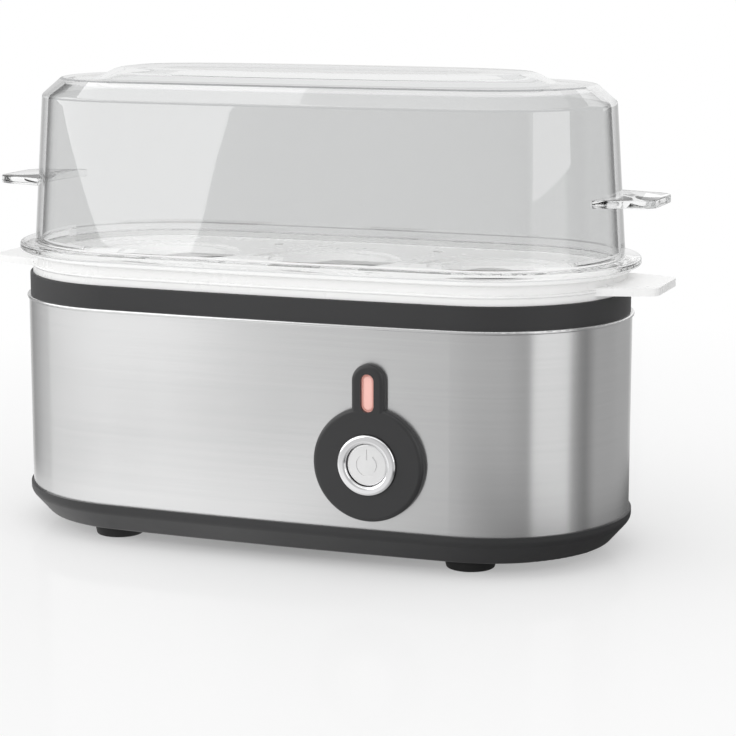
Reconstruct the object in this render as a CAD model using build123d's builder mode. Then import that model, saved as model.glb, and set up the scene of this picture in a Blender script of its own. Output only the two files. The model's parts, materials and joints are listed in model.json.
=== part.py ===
from build123d import *

import os
from math import cos, radians, sin, sqrt, tan

# A countertop boiler for three eggs, in millimetres. The origin is on the table under the body's
# centre. X runs along the body, the controls face -Y and Z is up. An inset is a distance inwards
# from the body's plan outline, and a depth is a distance in front of the X axis, towards -Y.

# Body outline: an oval whose long sides bow out a little
body_length = 200.0
body_depth = 91.0
side_bow = 1.2

# Heights, each counted from the level under it
foot_height = 3.5
base_height = 9.5
band_height = 62.3
collar_height = 7.2
tray_height = 7.5

# Clearances
fit_gap = 0.3
slide_gap = 0.2
screw_gap = 0.1
heater_gap = 0.05

# Base shell
base_lip_proud = 0.8
base_lip_height = 2.5
base_underside_inset = 5.3
base_floor = 2.5
base_wall = 2.6
base_knee_radius = 3.0
base_heel_radius = 2.0
base_upstand = 6.0
vent_length = 24.0
vent_width = 2.2
vent_pitch = 6.0
vent_count = 9

# Rubber feet
foot_end_inset = 40.5
foot_side_inset = 17.0
foot_bottom_radius = 7.4
foot_top_radius = 8.2
foot_edge = 0.6
foot_stem_radius = 2.4
foot_head_radius = 3.4
foot_head_height = 2.4

# Steel band
sheet = 0.6
bead_proud = 0.6
bead_height = 1.1
bead_edge = 0.45
seam_x = 62.0
seam_slit = 0.3
seam_strip_width = 12.0
seam_strip_sheet = 0.5
seam_strip_margin = 8.0

# Upper housing: the black collar, its deck and its posts
collar_inset = 0.5
collar_wall = 2.5
collar_edge = 0.4
skirt_wall = 2.0
skirt_height = 8.0
deck_drop = 3.5
deck_thickness = 2.0
deck_aperture_inset = 17.6
post_radius = 4.0
post_inset = 10.9
post_angle = 20.0
post_foot_height = 6.5
post_boss_radius = 5.2
clip_boss_radius = 3.4
clip_boss_height = 9.0
clip_boss_inset = 8.6
clip_x = 35.0

# Screws
housing_screw_radius = 1.5
housing_screw_length = 12.0
housing_head_radius = 3.0
housing_head_height = 2.2
housing_head_recess = 3.4
small_screw_radius = 1.2
small_screw_length = 5.0
small_head_radius = 2.2
small_head_height = 1.6
clamp_screw_radius = 2.0
clamp_screw_length = 6.0
clamp_head_radius = 3.5
clamp_head_height = 2.6
driver_slot_width = 0.7
driver_slot_depth = 0.8

# Water pan and its seal
pan_sheet = 0.8
pan_flange_inset = 15.4
pan_mouth_inset = 19.5
pan_floor_inset = 22.5
pan_depth = 10.0
pan_floor_radius = 3.0
seal_height = 2.0
seal_margin = 0.2

# Clips under the pan's flange
clip_sheet = 1.0
clip_width = 8.0
clip_reach = 2.4

# Earth tab
earth_x = -50.0
earth_width = 6.3
earth_sheet = 0.8
earth_foot = 3.0
earth_drop = 12.0

# Heater
heat_plate_inset = 24.5
heat_plate_thickness = 2.0
element_radius = 3.25
element_left_x = -58.0
element_right_x = 62.0
element_leg_drop = 20.0
element_bend = 8.0
element_pin_radius = 1.2
element_pin_length = 6.0
clamp_x = 24.0
clamp_width = 10.0
clamp_sheet = 1.2
clamp_boss_radius = 4.0

# Thermostat
thermostat_flange_radius = 9.0
thermostat_flange_height = 1.5
thermostat_radius = 7.0
thermostat_height = 8.5
thermostat_tab_x = 6.0
thermostat_tab_length = 7.0
thermostat_screw_x = 14.0
thermostat_boss_radius = 3.0
bracket_sheet = 1.2
bracket_length = 36.0
bracket_width = 18.0

# Terminals
tab_width = 4.8
tab_sheet = 0.8

# Thermal fuse
fuse_x = -44.0
fuse_radius = 2.0
fuse_length = 12.0
fuse_lead_radius = 0.5
fuse_lead_reach = 4.0
fuse_lead_drop = 7.0
fuse_clip_sheet = 0.8
fuse_clip_width = 6.0
fuse_clip_foot = 3.0

# Terminal block
block_x = -30.0
block_side_inset = 19.5
block_length = 28.0
block_width = 16.0
block_height = 13.0
block_pole_pitch = 8.0
block_pole_z = 6.0
block_bore_radius = 1.7
block_screw_radius = 1.8
block_screw_length = 4.0
block_fixing_x = 12.3
block_tunnel = 2.0

# Cord gland
gland_x = -45.0
gland_z = 30.0
gland_bore_radius = 3.3
gland_body_radius = 5.4
gland_flange_radius = 7.6
gland_flange_edge = 1.2
gland_nut_corner = 8.2
gland_nut_height = 4.0
gland_body_tail = 2.0

# Controls: panel, bezel, push button and lamp
panel_x = 32.9
button_z = 33.5
panel_radius = 17.6
panel_thickness = 2.6
panel_edge = 1.3
neck_half_width = 5.2
neck_top = 30.6
pillar_radius = 2.0
pillar_reach = 13.6
bezel_radius = 9.35
bezel_bore_radius = 6.6
bezel_spigot_radius = 8.6
bezel_seat_depth = 1.5
bezel_proud = 1.2
bezel_edge = 0.9
button_recess = 1.2
button_edge = 0.5
button_wall = 1.5
button_flange_radius = 8.4
button_flange_height = 1.0
button_stem_radius = 3.2
button_socket_radius = 2.05
button_travel = 2.5
mark_radius = 3.2
mark_width = 0.5
mark_depth = 0.25
mark_gap_angle = 70.0
carrier_gap = 2.5
carrier_thickness = 2.0
carrier_radius = 16.2
carrier_neck_half_width = 4.8
cup_radius = 11.2
cup_wall = 1.7
cup_depth = 5.0
cup_floor = 1.5
arm_width = 8.0
arm_thickness = 1.5
arm_hook = 1.2
switch_size = 16.0
switch_depth = 18.0
plunger_radius = 2.0
plunger_bite = 4.0
plunger_entry = 6.0
switch_tab_x = 4.0
switch_tab_length = 6.5
spring_radius = 4.3
spring_wire_radius = 0.35
spring_turns = 5
lamp_above_button = 21.8
lamp_width = 4.0
lamp_height = 11.4
lamp_flange_rim = 1.2
lamp_flange_depth = 1.2
lamp_pipe_length = 1.6
lamp_recess = 0.8
neon_radius = 2.0
neon_height = 11.0
lamp_lead_drop = 2.0
lamp_lead_reach = 12.0
lamp_lead_fall = 6.0

# Egg tray
tray_foot_inset = 1.5
tray_bead_inset = 1.0
tray_waist_inset = 1.8
tray_rim_inset = 0.2
tray_foot_height = 2.2
tray_bead_height = 0.9
tray_rim_height = 1.5
tray_edge = 0.4
tray_wall = 2.0
tray_recess_inset = 2.8
tray_recess_depth = 2.0
tray_rib_inset = 3.6
tray_rib_wall = 1.6
tray_rib_height = 5.5
seat_pitch = 56.0
seat_step_radius = 25.0
seat_step_depth = 0.7
seat_mouth_radius = 21.5
seat_throat_radius = 16.0
seat_depth = 4.0
steam_hole_radius = 1.6
steam_hole_reach = 30.5

# Lid
lid_flange_proud = 2.5
lid_flange_height = 2.4
lid_flange_edge = 0.8
lid_wall = 2.0
lid_foot_inset = 2.5
lid_shoulder_inset = 5.7
lid_shoulder_height = 49.6
lid_roof_inset = 11.9
lid_chamfer_height = 5.4
lid_shoulder_radius = 1.6
lid_spigot = 1.6
plateau_shrink = 0.5
plateau_height = 3.4
plateau_foot_length = 152.0
plateau_foot_depth = 60.0
plateau_top_length = 134.0
plateau_top_depth = 50.0
plateau_corner = 17.0

# End tabs, one pair on the tray and one on the lid
tab_tip_x = 112.1
tray_tab_top = 3.7
tray_tab_thickness = 2.4
tray_tab_root_half = 19.0
tray_tab_end_half = 13.0
lid_tab_tip_x = 110.6
lid_tab_top = 22.2
lid_tab_thickness = 2.5
lid_tab_root_half = 17.5
lid_tab_end_half = 11.5
tab_corner = 4.0
tab_root = 8.0

# Wires
wire_radius = 1.1
lamp_wire_radius = 0.6

# Levels
base_z = foot_height
base_floor_z = base_z + base_floor
band_z = base_z + base_height
collar_z = band_z + band_height
tray_z = collar_z + collar_height
lid_z = tray_z + tray_height
deck_top_z = tray_z - deck_drop
deck_z = deck_top_z - deck_thickness
pan_flange_z = deck_z - seal_height - pan_sheet
pan_z = deck_z - seal_height - pan_depth
heat_plate_z = pan_z - heat_plate_thickness
element_z = heat_plate_z - heater_gap - element_radius
clamp_z = element_z - element_radius - heater_gap

# Outline and places that follow from the sizes
end_radius = body_depth / 2 - side_bow
end_x = body_length / 2 - end_radius
side_radius = (end_x**2 + (body_depth / 2) ** 2 - end_radius**2) / (2 * side_bow)
side_centre = side_radius - body_depth / 2
skirt_inset = sheet + fit_gap
skirt_inner_inset = skirt_inset + skirt_wall
post_x = end_x + (end_radius - post_inset) * cos(radians(post_angle))
post_y = (end_radius - post_inset) * sin(radians(post_angle))
foot_x = body_length / 2 - foot_end_inset
foot_y = body_depth / 2 - foot_side_inset
block_y = body_depth / 2 - block_side_inset
clamp_length = body_depth - 2 * heat_plate_inset
element_y = (bracket_width + clamp_length) / 4


def side_y(x, inset=0.0):
    """How far the long side lies from the X axis at x."""
    return sqrt((side_radius - inset) ** 2 - x**2) - side_centre


band_front = side_y(panel_x)
panel_front = band_front + panel_thickness
bezel_front = panel_front + bezel_proud
bezel_back = band_front - heater_gap
button_flange_front = bezel_back - slide_gap
carrier_front = band_front - sheet - carrier_gap
carrier_back = carrier_front - carrier_thickness
switch_front = carrier_back - cup_depth
switch_back = switch_front - switch_depth
switch_tab_end = switch_back - switch_tab_length
button_face = bezel_front - button_recess
button_pocket = button_face - button_wall
switch_floor = switch_front + cup_floor
lamp_z = button_z + lamp_above_button
lens_seat = side_y(panel_x - lamp_width / 2 - lamp_flange_rim) + heater_gap
fuse_z = heat_plate_z - fuse_radius - heater_gap
thermostat_tab_z = heat_plate_z - thermostat_flange_height - thermostat_height - thermostat_tab_length
pin_z = element_z - element_leg_drop - element_pin_length


def oval(inset, mode=Mode.ADD):
    """Draws the body outline, moved in by inset, in the open sketch."""
    bow = side_radius - inset
    join_x = bow * end_x / (side_radius - end_radius)
    join_y = bow * side_centre / (side_radius - end_radius) - side_centre
    tip_x = body_length / 2 - inset
    tip_y = body_depth / 2 - inset
    with BuildLine() as outline:
        ThreePointArc((-join_x, join_y), (0, tip_y), (join_x, join_y))
        ThreePointArc((join_x, join_y), (tip_x, 0), (join_x, -join_y))
        ThreePointArc((join_x, -join_y), (0, -tip_y), (-join_x, -join_y))
        ThreePointArc((-join_x, -join_y), (-tip_x, 0), (-join_x, join_y))
    make_face(outline.edges(), mode=mode)


def slab(level, height, inset, mode=Mode.ADD):
    """Adds or cuts a straight oval block in the open part."""
    with BuildSketch(Plane.XY.offset(level)) as section:
        oval(inset)
    extrude(section.sketch, amount=height, mode=mode)


def ring(level, height, outer_inset, inner_inset):
    """Adds a straight oval ring to the open part."""
    with BuildSketch(Plane.XY.offset(level)) as section:
        oval(outer_inset)
        oval(inner_inset, mode=Mode.SUBTRACT)
    extrude(section.sketch, amount=height)


def tapered(level, height, bottom_inset, top_inset, mode=Mode.ADD):
    """Adds or cuts an oval block whose wall leans in the open part."""
    with BuildSketch(Plane.XY.offset(level)) as low:
        oval(bottom_inset)
    with BuildSketch(Plane.XY.offset(level + height)) as high:
        oval(top_inset)
    loft([low.sketch, high.sketch], ruled=True, mode=mode)


def rim(part, level, inset):
    """The four edges of an oval outline at one height of an open part."""
    tip_x = body_length / 2 - inset
    tip_y = body_depth / 2 - inset

    def on_outline(edge):
        middle = edge @ 0.5
        on_side = abs(middle.X) < 0.01 and abs(abs(middle.Y) - tip_y) < 0.01
        on_end = abs(middle.Y) < 0.01 and abs(abs(middle.X) - tip_x) < 0.01
        return on_side or on_end

    return part.edges().filter_by_position(Axis.Z, level - 0.01, level + 0.01).filter_by(on_outline)


def facing(depth):
    """A plane that looks out of the front at a depth, centred on the push button."""
    return Plane(origin=(panel_x, -depth, button_z), x_dir=(1, 0, 0), z_dir=(0, -1, 0))


def keyhole(radius, neck_half, top):
    """Draws a disc with a round-topped neck above it in the open sketch."""
    neck_centre = top - neck_half
    Circle(radius)
    with Locations((0, neck_centre / 2)):
        Rectangle(2 * neck_half, neck_centre)
    with Locations((0, neck_centre)):
        Circle(neck_half)


def screw(name, spots, shank_radius, shank_length, head_radius, head_height):
    """Screws that are driven upwards, one solid each. A spot is where the head's face bears."""
    with BuildPart() as screws:
        for x, y, z in spots:
            with BuildSketch(Plane.XY.offset(z)):
                with Locations((x, y)):
                    Circle(shank_radius)
            extrude(amount=shank_length)
            with BuildSketch(Plane.XY.offset(z)):
                with Locations((x, y)):
                    Circle(head_radius)
            extrude(amount=-head_height)
            with BuildSketch(Plane.XY.offset(z - head_height)):
                with Locations((x, y)):
                    Rectangle(2 * head_radius, driver_slot_width)
                    Rectangle(driver_slot_width, 2 * head_radius)
            extrude(amount=driver_slot_depth, mode=Mode.SUBTRACT)
    save(screws, name)


def tube(points, radius):
    """Adds a round tube along a route of straight runs and the largest arcs that they leave room for."""
    corners = [Vector(*point) for point in points]
    arcs = []
    for before, corner, after in zip(corners, corners[1:], corners[2:]):
        turn = radians((corner - before).get_angle(after - corner))
        shorter = min((corner - before).length, (after - corner).length)
        arcs.append(0.45 * shorter / tan(turn / 2))
    with BuildLine() as route:
        FilletPolyline(*points, radius=arcs)
    with BuildSketch(Plane(origin=route.wire() @ 0, z_dir=route.wire() % 0)) as section:
        Circle(radius)
    sweep(section.sketch, path=route.wire())


def save(built, name):
    """Labels a finished piece and writes its file."""
    built.part.label = name
    export_step(built.part, f"parts/{name}.step")


os.makedirs("parts", exist_ok=True)

# --- Base ---

underside_turn = base_height - base_lip_height

with BuildPart() as base_shell:
    tapered(base_z, underside_turn, base_underside_inset, -base_lip_proud)
    slab(base_z + underside_turn, base_lip_height, -base_lip_proud)
    fillet(rim(base_shell, base_z + underside_turn, -base_lip_proud), base_knee_radius)
    fillet(rim(base_shell, base_z, base_underside_inset), base_heel_radius)
    ring(band_z, base_upstand, skirt_inset, skirt_inner_inset)
    tapered(
        base_floor_z,
        underside_turn - base_floor,
        base_underside_inset + base_wall,
        skirt_inner_inset,
        mode=Mode.SUBTRACT,
    )
    slab(base_z + underside_turn, base_lip_height, skirt_inner_inset, mode=Mode.SUBTRACT)
    # Bosses that the housing's posts stand on, each with a recess for a screw head
    with BuildSketch(Plane.XY.offset(base_z)):
        with GridLocations(2 * post_x, 2 * post_y, 2, 2):
            Circle(post_boss_radius)
    extrude(amount=post_foot_height)
    with BuildSketch(Plane.XY.offset(base_z)):
        with GridLocations(2 * post_x, 2 * post_y, 2, 2):
            Circle(housing_head_radius + fit_gap)
    extrude(amount=housing_head_recess, mode=Mode.SUBTRACT)
    with BuildSketch(Plane.XY.offset(base_z)):
        with GridLocations(2 * post_x, 2 * post_y, 2, 2):
            Circle(housing_screw_radius + screw_gap)
        with GridLocations(2 * foot_x, 2 * foot_y, 2, 2):
            Circle(foot_stem_radius + heater_gap)
        with GridLocations(vent_pitch, 0, vent_count, 1):
            SlotOverall(vent_length, vent_width, rotation=90)
        with Locations((block_x, block_y)):
            with GridLocations(2 * block_fixing_x, 0, 2, 1):
                Circle(small_screw_radius + screw_gap)
    extrude(amount=post_foot_height, mode=Mode.SUBTRACT)
save(base_shell, "base_shell")


def rubber_foot(name, x, y):
    """A foot whose stem and head hold it in its hole in the base."""
    head_z = base_floor_z
    with BuildPart() as foot:
        with BuildSketch(Plane.XZ):
            with BuildLine():
                Polyline(
                    (0, 0),
                    (foot_bottom_radius, 0),
                    (foot_top_radius, base_z),
                    (foot_stem_radius, base_z),
                    (foot_stem_radius, head_z),
                    (foot_head_radius, head_z),
                    (foot_stem_radius / 2, head_z + foot_head_height),
                    (0, head_z + foot_head_height),
                    close=True,
                )
            make_face()
        revolve(axis=Axis.Z)
        fillet(foot.edges().group_by(Axis.Z)[0], foot_edge)
    with BuildPart() as placed:
        with Locations((x, y)):
            add(foot.part)
    save(placed, name)


rubber_foot("foot_front_left", -foot_x, -foot_y)
rubber_foot("foot_front_right", foot_x, -foot_y)
rubber_foot("foot_rear_left", -foot_x, foot_y)
rubber_foot("foot_rear_right", foot_x, foot_y)

post_spots = [(x, y, base_z + housing_head_recess) for x in (-post_x, post_x) for y in (-post_y, post_y)]
screw(
    "housing_screws",
    post_spots,
    housing_screw_radius,
    housing_screw_length,
    housing_head_radius,
    housing_head_height,
)

# --- Steel band ---

rear_y = side_y(abs(gland_x) - gland_flange_radius)
gland_nut_y = side_y(abs(gland_x) + gland_nut_corner, sheet) - screw_gap

with BuildPart() as sleeve:
    ring(band_z, band_height, 0, sheet)
    ring(collar_z - bead_height, bead_height, -bead_proud, sheet)
    fillet(rim(sleeve, collar_z, -bead_proud), bead_edge)
    fillet(rim(sleeve, collar_z - bead_height, -bead_proud), bead_edge)
    # Openings behind the control panel
    with BuildSketch(facing(carrier_front)):
        Circle(bezel_radius + fit_gap)
        with PolarLocations(pillar_reach, 3, 90):
            Circle(pillar_radius + fit_gap)
        with Locations((0, lamp_above_button)):
            SlotOverall(lamp_height + 2 * fit_gap, lamp_width + 2 * fit_gap, rotation=90)
    extrude(amount=panel_front - carrier_front, mode=Mode.SUBTRACT)
    # Opening for the cord gland at the back
    with BuildSketch(Plane(origin=(gland_x, rear_y - gland_nut_height, gland_z), z_dir=(0, 1, 0))):
        Circle(gland_body_radius + screw_gap)
    extrude(amount=2 * gland_nut_height, mode=Mode.SUBTRACT)

# The sheet that wraps the front and the ends, and the panel that closes the back between them
with BuildPart() as steel_band:
    add(sleeve.part)
    with Locations((0, body_depth / 2, band_z + band_height / 2)):
        Box(2 * seam_x, body_depth / 2, band_height + bead_height, mode=Mode.SUBTRACT)
save(steel_band, "steel_band")

with BuildPart() as rear_panel:
    add(sleeve.part)
    with Locations((0, body_depth / 2, band_z + band_height / 2)):
        Box(2 * (seam_x - seam_slit), body_depth / 2, band_height + bead_height, mode=Mode.INTERSECT)
save(rear_panel, "rear_panel")

# A strip behind each seam joins the two
with BuildPart() as seam_strip:
    strip_z = band_z + seam_strip_margin
    with BuildSketch(Plane.XY.offset(strip_z)):
        oval(sheet)
        oval(sheet + seam_strip_sheet, mode=Mode.SUBTRACT)
        with Locations((-seam_x, body_depth / 2), (seam_x, body_depth / 2)):
            Rectangle(seam_strip_width, body_depth / 2, mode=Mode.INTERSECT)
    extrude(amount=collar_z - skirt_height - seam_strip_margin - strip_z)
save(seam_strip, "seam_strip")

# --- Upper housing ---

with BuildPart() as upper_housing:
    ring(collar_z, collar_height, collar_inset, collar_inset + collar_wall)
    fillet(rim(upper_housing, tray_z, collar_inset), collar_edge)
    ring(collar_z - skirt_height, skirt_height, skirt_inset, skirt_inner_inset)
    ring(deck_z, deck_thickness, collar_inset + collar_wall / 2, deck_aperture_inset)
    with BuildSketch(Plane.XY.offset(deck_z)):
        with GridLocations(2 * post_x, 2 * post_y, 2, 2):
            Circle(post_radius)
    extrude(amount=base_z + post_foot_height - deck_z)
    with BuildSketch(Plane.XY.offset(deck_z)):
        with GridLocations(2 * clip_x, 2 * side_y(clip_x, clip_boss_inset), 2, 2):
            Circle(clip_boss_radius)
    extrude(amount=-clip_boss_height)
    with BuildSketch(Plane.XY.offset(base_z + post_foot_height)):
        with GridLocations(2 * post_x, 2 * post_y, 2, 2):
            Circle(housing_screw_radius)
    extrude(amount=housing_screw_length, mode=Mode.SUBTRACT)
    with BuildSketch(Plane.XY.offset(deck_z - clip_boss_height)):
        with GridLocations(2 * clip_x, 2 * side_y(clip_x, clip_boss_inset), 2, 2):
            Circle(small_screw_radius)
    extrude(amount=small_screw_length + small_screw_radius, mode=Mode.SUBTRACT)
save(upper_housing, "upper_housing")

# --- Water pan, its seal and what holds it ---

with BuildPart() as water_pan:
    slab(pan_flange_z, pan_sheet, pan_flange_inset)
    tapered(pan_z, pan_depth - pan_sheet, pan_floor_inset, pan_mouth_inset - pan_sheet)
    fillet(rim(water_pan, pan_z, pan_floor_inset), pan_floor_radius)
    with BuildPart(mode=Mode.PRIVATE) as pan_hollow:
        tapered(pan_z + pan_sheet, pan_depth - pan_sheet, pan_floor_inset + pan_sheet, pan_mouth_inset)
        fillet(rim(pan_hollow, pan_z + pan_sheet, pan_floor_inset + pan_sheet), pan_floor_radius - pan_sheet)
    add(pan_hollow.part, mode=Mode.SUBTRACT)
save(water_pan, "water_pan")

with BuildPart() as pan_seal:
    ring(
        pan_flange_z + pan_sheet,
        seal_height,
        pan_flange_inset + seal_margin,
        deck_aperture_inset - seal_margin,
    )
save(pan_seal, "pan_seal")

clip_boss_y = side_y(clip_x, clip_boss_inset)
clip_foot_z = deck_z - clip_boss_height
clip_riser_y = clip_boss_y - clip_boss_radius - fit_gap
clip_tip_y = side_y(clip_x, pan_flange_inset) - clip_reach

with BuildPart() as pan_clips:
    with BuildSketch(Plane.YZ.offset(clip_x - clip_width / 2)):
        with BuildLine():
            Polyline(
                (clip_boss_y + clip_boss_radius, clip_foot_z),
                (clip_riser_y, clip_foot_z),
                (clip_riser_y, pan_flange_z),
                (clip_tip_y, pan_flange_z),
                (clip_tip_y, pan_flange_z - clip_sheet),
                (clip_riser_y - clip_sheet, pan_flange_z - clip_sheet),
                (clip_riser_y - clip_sheet, clip_foot_z - clip_sheet),
                (clip_boss_y + clip_boss_radius, clip_foot_z - clip_sheet),
                close=True,
            )
        make_face()
    extrude(amount=clip_width)
    with BuildSketch(Plane.XY.offset(clip_foot_z)):
        with Locations((clip_x, clip_boss_y)):
            Circle(small_screw_radius + screw_gap)
    extrude(amount=-clip_sheet, mode=Mode.SUBTRACT)
    mirror(about=Plane.XZ)
    mirror(about=Plane.YZ)
save(pan_clips, "pan_clips")

clip_spots = [
    (x, y, clip_foot_z - clip_sheet) for x in (-clip_x, clip_x) for y in (-clip_boss_y, clip_boss_y)
]
screw(
    "clip_screws",
    clip_spots,
    small_screw_radius,
    small_screw_length,
    small_head_radius,
    small_head_height,
)

earth_y = side_y(earth_x, pan_flange_inset)

with BuildPart() as earth_tab:
    with BuildSketch(Plane.YZ.offset(earth_x - earth_width / 2)):
        with BuildLine():
            Polyline(
                (earth_y - earth_foot, pan_flange_z),
                (earth_y, pan_flange_z),
                (earth_y, pan_flange_z - earth_drop),
                (earth_y - earth_sheet, pan_flange_z - earth_drop),
                (earth_y - earth_sheet, pan_flange_z - earth_sheet),
                (earth_y - earth_foot, pan_flange_z - earth_sheet),
                close=True,
            )
        make_face()
    extrude(amount=earth_width)
save(earth_tab, "earth_tab")

# --- Heater ---

with BuildPart() as heat_plate:
    slab(heat_plate_z, heat_plate_thickness, heat_plate_inset)
    with BuildSketch(Plane.XY.offset(heat_plate_z)):
        with Locations((-clamp_x, 0), (clamp_x, 0)):
            Circle(clamp_boss_radius)
    extrude(amount=clamp_z - heat_plate_z)
    with BuildSketch(Plane.XY.offset(heat_plate_z)):
        with Locations((-thermostat_screw_x, 0), (thermostat_screw_x, 0)):
            Circle(thermostat_boss_radius)
    extrude(amount=-thermostat_flange_height)
    with BuildSketch(Plane.XY.offset(clamp_z)):
        with Locations((-clamp_x, 0), (clamp_x, 0)):
            Circle(clamp_screw_radius)
    extrude(amount=clamp_screw_length, mode=Mode.SUBTRACT)
    with BuildSketch(Plane.XY.offset(heat_plate_z - thermostat_flange_height)):
        with Locations((-thermostat_screw_x, 0), (thermostat_screw_x, 0)):
            Circle(small_screw_radius)
    extrude(amount=thermostat_flange_height + heat_plate_thickness / 2, mode=Mode.SUBTRACT)
save(heat_plate, "heat_plate")

leg_z = element_z - element_leg_drop

with BuildPart() as heating_element:
    with BuildLine() as element_route:
        FilletPolyline(
            (element_left_x, -element_y, leg_z),
            (element_left_x, -element_y, element_z),
            (element_right_x, -element_y, element_z),
            (element_right_x, element_y, element_z),
            (element_left_x, element_y, element_z),
            (element_left_x, element_y, leg_z),
            radius=[element_bend, element_y - fit_gap, element_y - fit_gap, element_bend],
        )
    with BuildSketch(Plane.XY.offset(leg_z)):
        with Locations((element_left_x, -element_y)):
            Circle(element_radius)
    sweep(path=element_route.wire())
save(heating_element, "heating_element")

with BuildPart() as element_pins:
    with BuildSketch(Plane.XY.offset(leg_z)):
        with Locations((element_left_x, -element_y), (element_left_x, element_y)):
            Circle(element_pin_radius)
    extrude(amount=-element_pin_length)
save(element_pins, "element_pins")

with BuildPart() as clamp_bars:
    with BuildSketch(Plane.XY.offset(clamp_z)):
        with Locations((-clamp_x, 0), (clamp_x, 0)):
            SlotOverall(clamp_length, clamp_width, rotation=90)
            Circle(clamp_screw_radius + screw_gap, mode=Mode.SUBTRACT)
    extrude(amount=-clamp_sheet)
save(clamp_bars, "clamp_bars")

screw(
    "clamp_screws",
    [(-clamp_x, 0, clamp_z - clamp_sheet), (clamp_x, 0, clamp_z - clamp_sheet)],
    clamp_screw_radius,
    clamp_screw_length,
    clamp_head_radius,
    clamp_head_height,
)

# --- Thermostat and thermal fuse ---

thermostat_z = heat_plate_z - thermostat_flange_height

with BuildPart() as thermostat:
    with BuildSketch(Plane.XY.offset(heat_plate_z)):
        Circle(thermostat_flange_radius)
    extrude(amount=-thermostat_flange_height)
    with BuildSketch(Plane.XY.offset(thermostat_z)):
        Circle(thermostat_radius)
    extrude(amount=-thermostat_height)
    with BuildSketch(Plane.XY.offset(thermostat_z - thermostat_height)):
        with Locations((-thermostat_tab_x, 0), (thermostat_tab_x, 0)):
            Rectangle(tab_sheet, tab_width)
    extrude(amount=-thermostat_tab_length)
save(thermostat, "thermostat")

with BuildPart() as thermostat_bracket:
    with BuildSketch(Plane.XY.offset(thermostat_z)):
        SlotOverall(bracket_length, bracket_width)
        Circle(thermostat_radius + fit_gap, mode=Mode.SUBTRACT)
        with Locations((-thermostat_screw_x, 0), (thermostat_screw_x, 0)):
            Circle(small_screw_radius + screw_gap, mode=Mode.SUBTRACT)
    extrude(amount=-bracket_sheet)
save(thermostat_bracket, "thermostat_bracket")

bracket_under_z = thermostat_z - bracket_sheet
screw(
    "thermostat_screws",
    [(-thermostat_screw_x, 0, bracket_under_z), (thermostat_screw_x, 0, bracket_under_z)],
    small_screw_radius,
    bracket_sheet + thermostat_flange_height + heat_plate_thickness / 2 - screw_gap,
    small_head_radius,
    small_head_height,
)

fuse_half = fuse_length / 2
lead_tip = fuse_half + fuse_lead_reach

with BuildPart() as thermal_fuse:
    with BuildSketch(Plane.YZ.offset(fuse_x - fuse_half)):
        with Locations((0, fuse_z)):
            Circle(fuse_radius)
    extrude(amount=fuse_length)
    for side in (-1, 1):
        tube(
            [
                (fuse_x + side * fuse_half, 0, fuse_z),
                (fuse_x + side * lead_tip, 0, fuse_z),
                (fuse_x + side * lead_tip, 0, fuse_z - fuse_lead_drop),
            ],
            fuse_lead_radius,
        )
save(thermal_fuse, "thermal_fuse")

saddle_radius = fuse_radius + heater_gap

with BuildPart() as fuse_clip:
    with BuildSketch(Plane.YZ.offset(fuse_x - fuse_clip_width / 2)):
        with Locations((0, fuse_z)):
            Circle(saddle_radius + fuse_clip_sheet)
        with Locations((0, (fuse_z + heat_plate_z) / 2)):
            Rectangle(2 * (saddle_radius + fuse_clip_sheet), heat_plate_z - fuse_z)
        with Locations((0, heat_plate_z - fuse_clip_sheet / 2)):
            Rectangle(2 * (saddle_radius + fuse_clip_sheet + fuse_clip_foot), fuse_clip_sheet)
        with Locations((0, fuse_z)):
            Circle(saddle_radius, mode=Mode.SUBTRACT)
        with Locations((0, (fuse_z + heat_plate_z) / 2)):
            Rectangle(2 * saddle_radius, heat_plate_z - fuse_z, mode=Mode.SUBTRACT)
        with Locations((0, heat_plate_z + fuse_radius)):
            Rectangle(4 * fuse_radius, 2 * fuse_radius, mode=Mode.SUBTRACT)
    extrude(amount=fuse_clip_width)
save(fuse_clip, "fuse_clip")

# --- Terminal block ---

pole_xs = [block_x + step * block_pole_pitch for step in (-1, 0, 1)]
pole_z = base_floor_z + block_pole_z
block_top_z = base_floor_z + block_height

with BuildPart() as terminal_block:
    with BuildSketch(Plane.XY.offset(base_floor_z)):
        with Locations((block_x, block_y)):
            Rectangle(block_length, block_width)
    extrude(amount=block_height)
    fillet(terminal_block.edges().filter_by(Axis.Z), block_bore_radius)
    with BuildSketch(Plane.XZ.offset(-block_y - block_width / 2)):
        with Locations(*[(x, pole_z) for x in pole_xs]):
            Circle(block_bore_radius)
    extrude(amount=block_width, mode=Mode.SUBTRACT)
    with BuildSketch(Plane.XY.offset(block_top_z)):
        with Locations(*[(x, block_y) for x in pole_xs]):
            Circle(block_screw_radius)
    extrude(amount=-block_screw_length, mode=Mode.SUBTRACT)
    with BuildSketch(Plane.XY.offset(base_floor_z)):
        with Locations((block_x, block_y)):
            with GridLocations(2 * block_fixing_x, 0, 2, 1):
                Circle(small_screw_radius)
    extrude(amount=small_screw_length, mode=Mode.SUBTRACT)
save(terminal_block, "terminal_block")

with BuildPart() as pole_screws:
    with BuildSketch(Plane.XY.offset(block_top_z - block_screw_length)):
        with Locations(*[(x, block_y) for x in pole_xs]):
            Circle(block_screw_radius)
    extrude(amount=block_screw_length - driver_slot_depth)
    with BuildSketch(Plane.XY.offset(block_top_z - driver_slot_depth)):
        with Locations(*[(x, block_y) for x in pole_xs]):
            Rectangle(2 * block_screw_radius, driver_slot_width)
    extrude(amount=-driver_slot_depth, mode=Mode.SUBTRACT)
save(pole_screws, "pole_screws")

screw(
    "block_screws",
    [(block_x - block_fixing_x, block_y, base_z), (block_x + block_fixing_x, block_y, base_z)],
    small_screw_radius,
    small_screw_length,
    small_head_radius,
    small_head_height,
)

# --- Cord gland: it stands out at the back as far as the bezel does at the front ---

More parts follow.
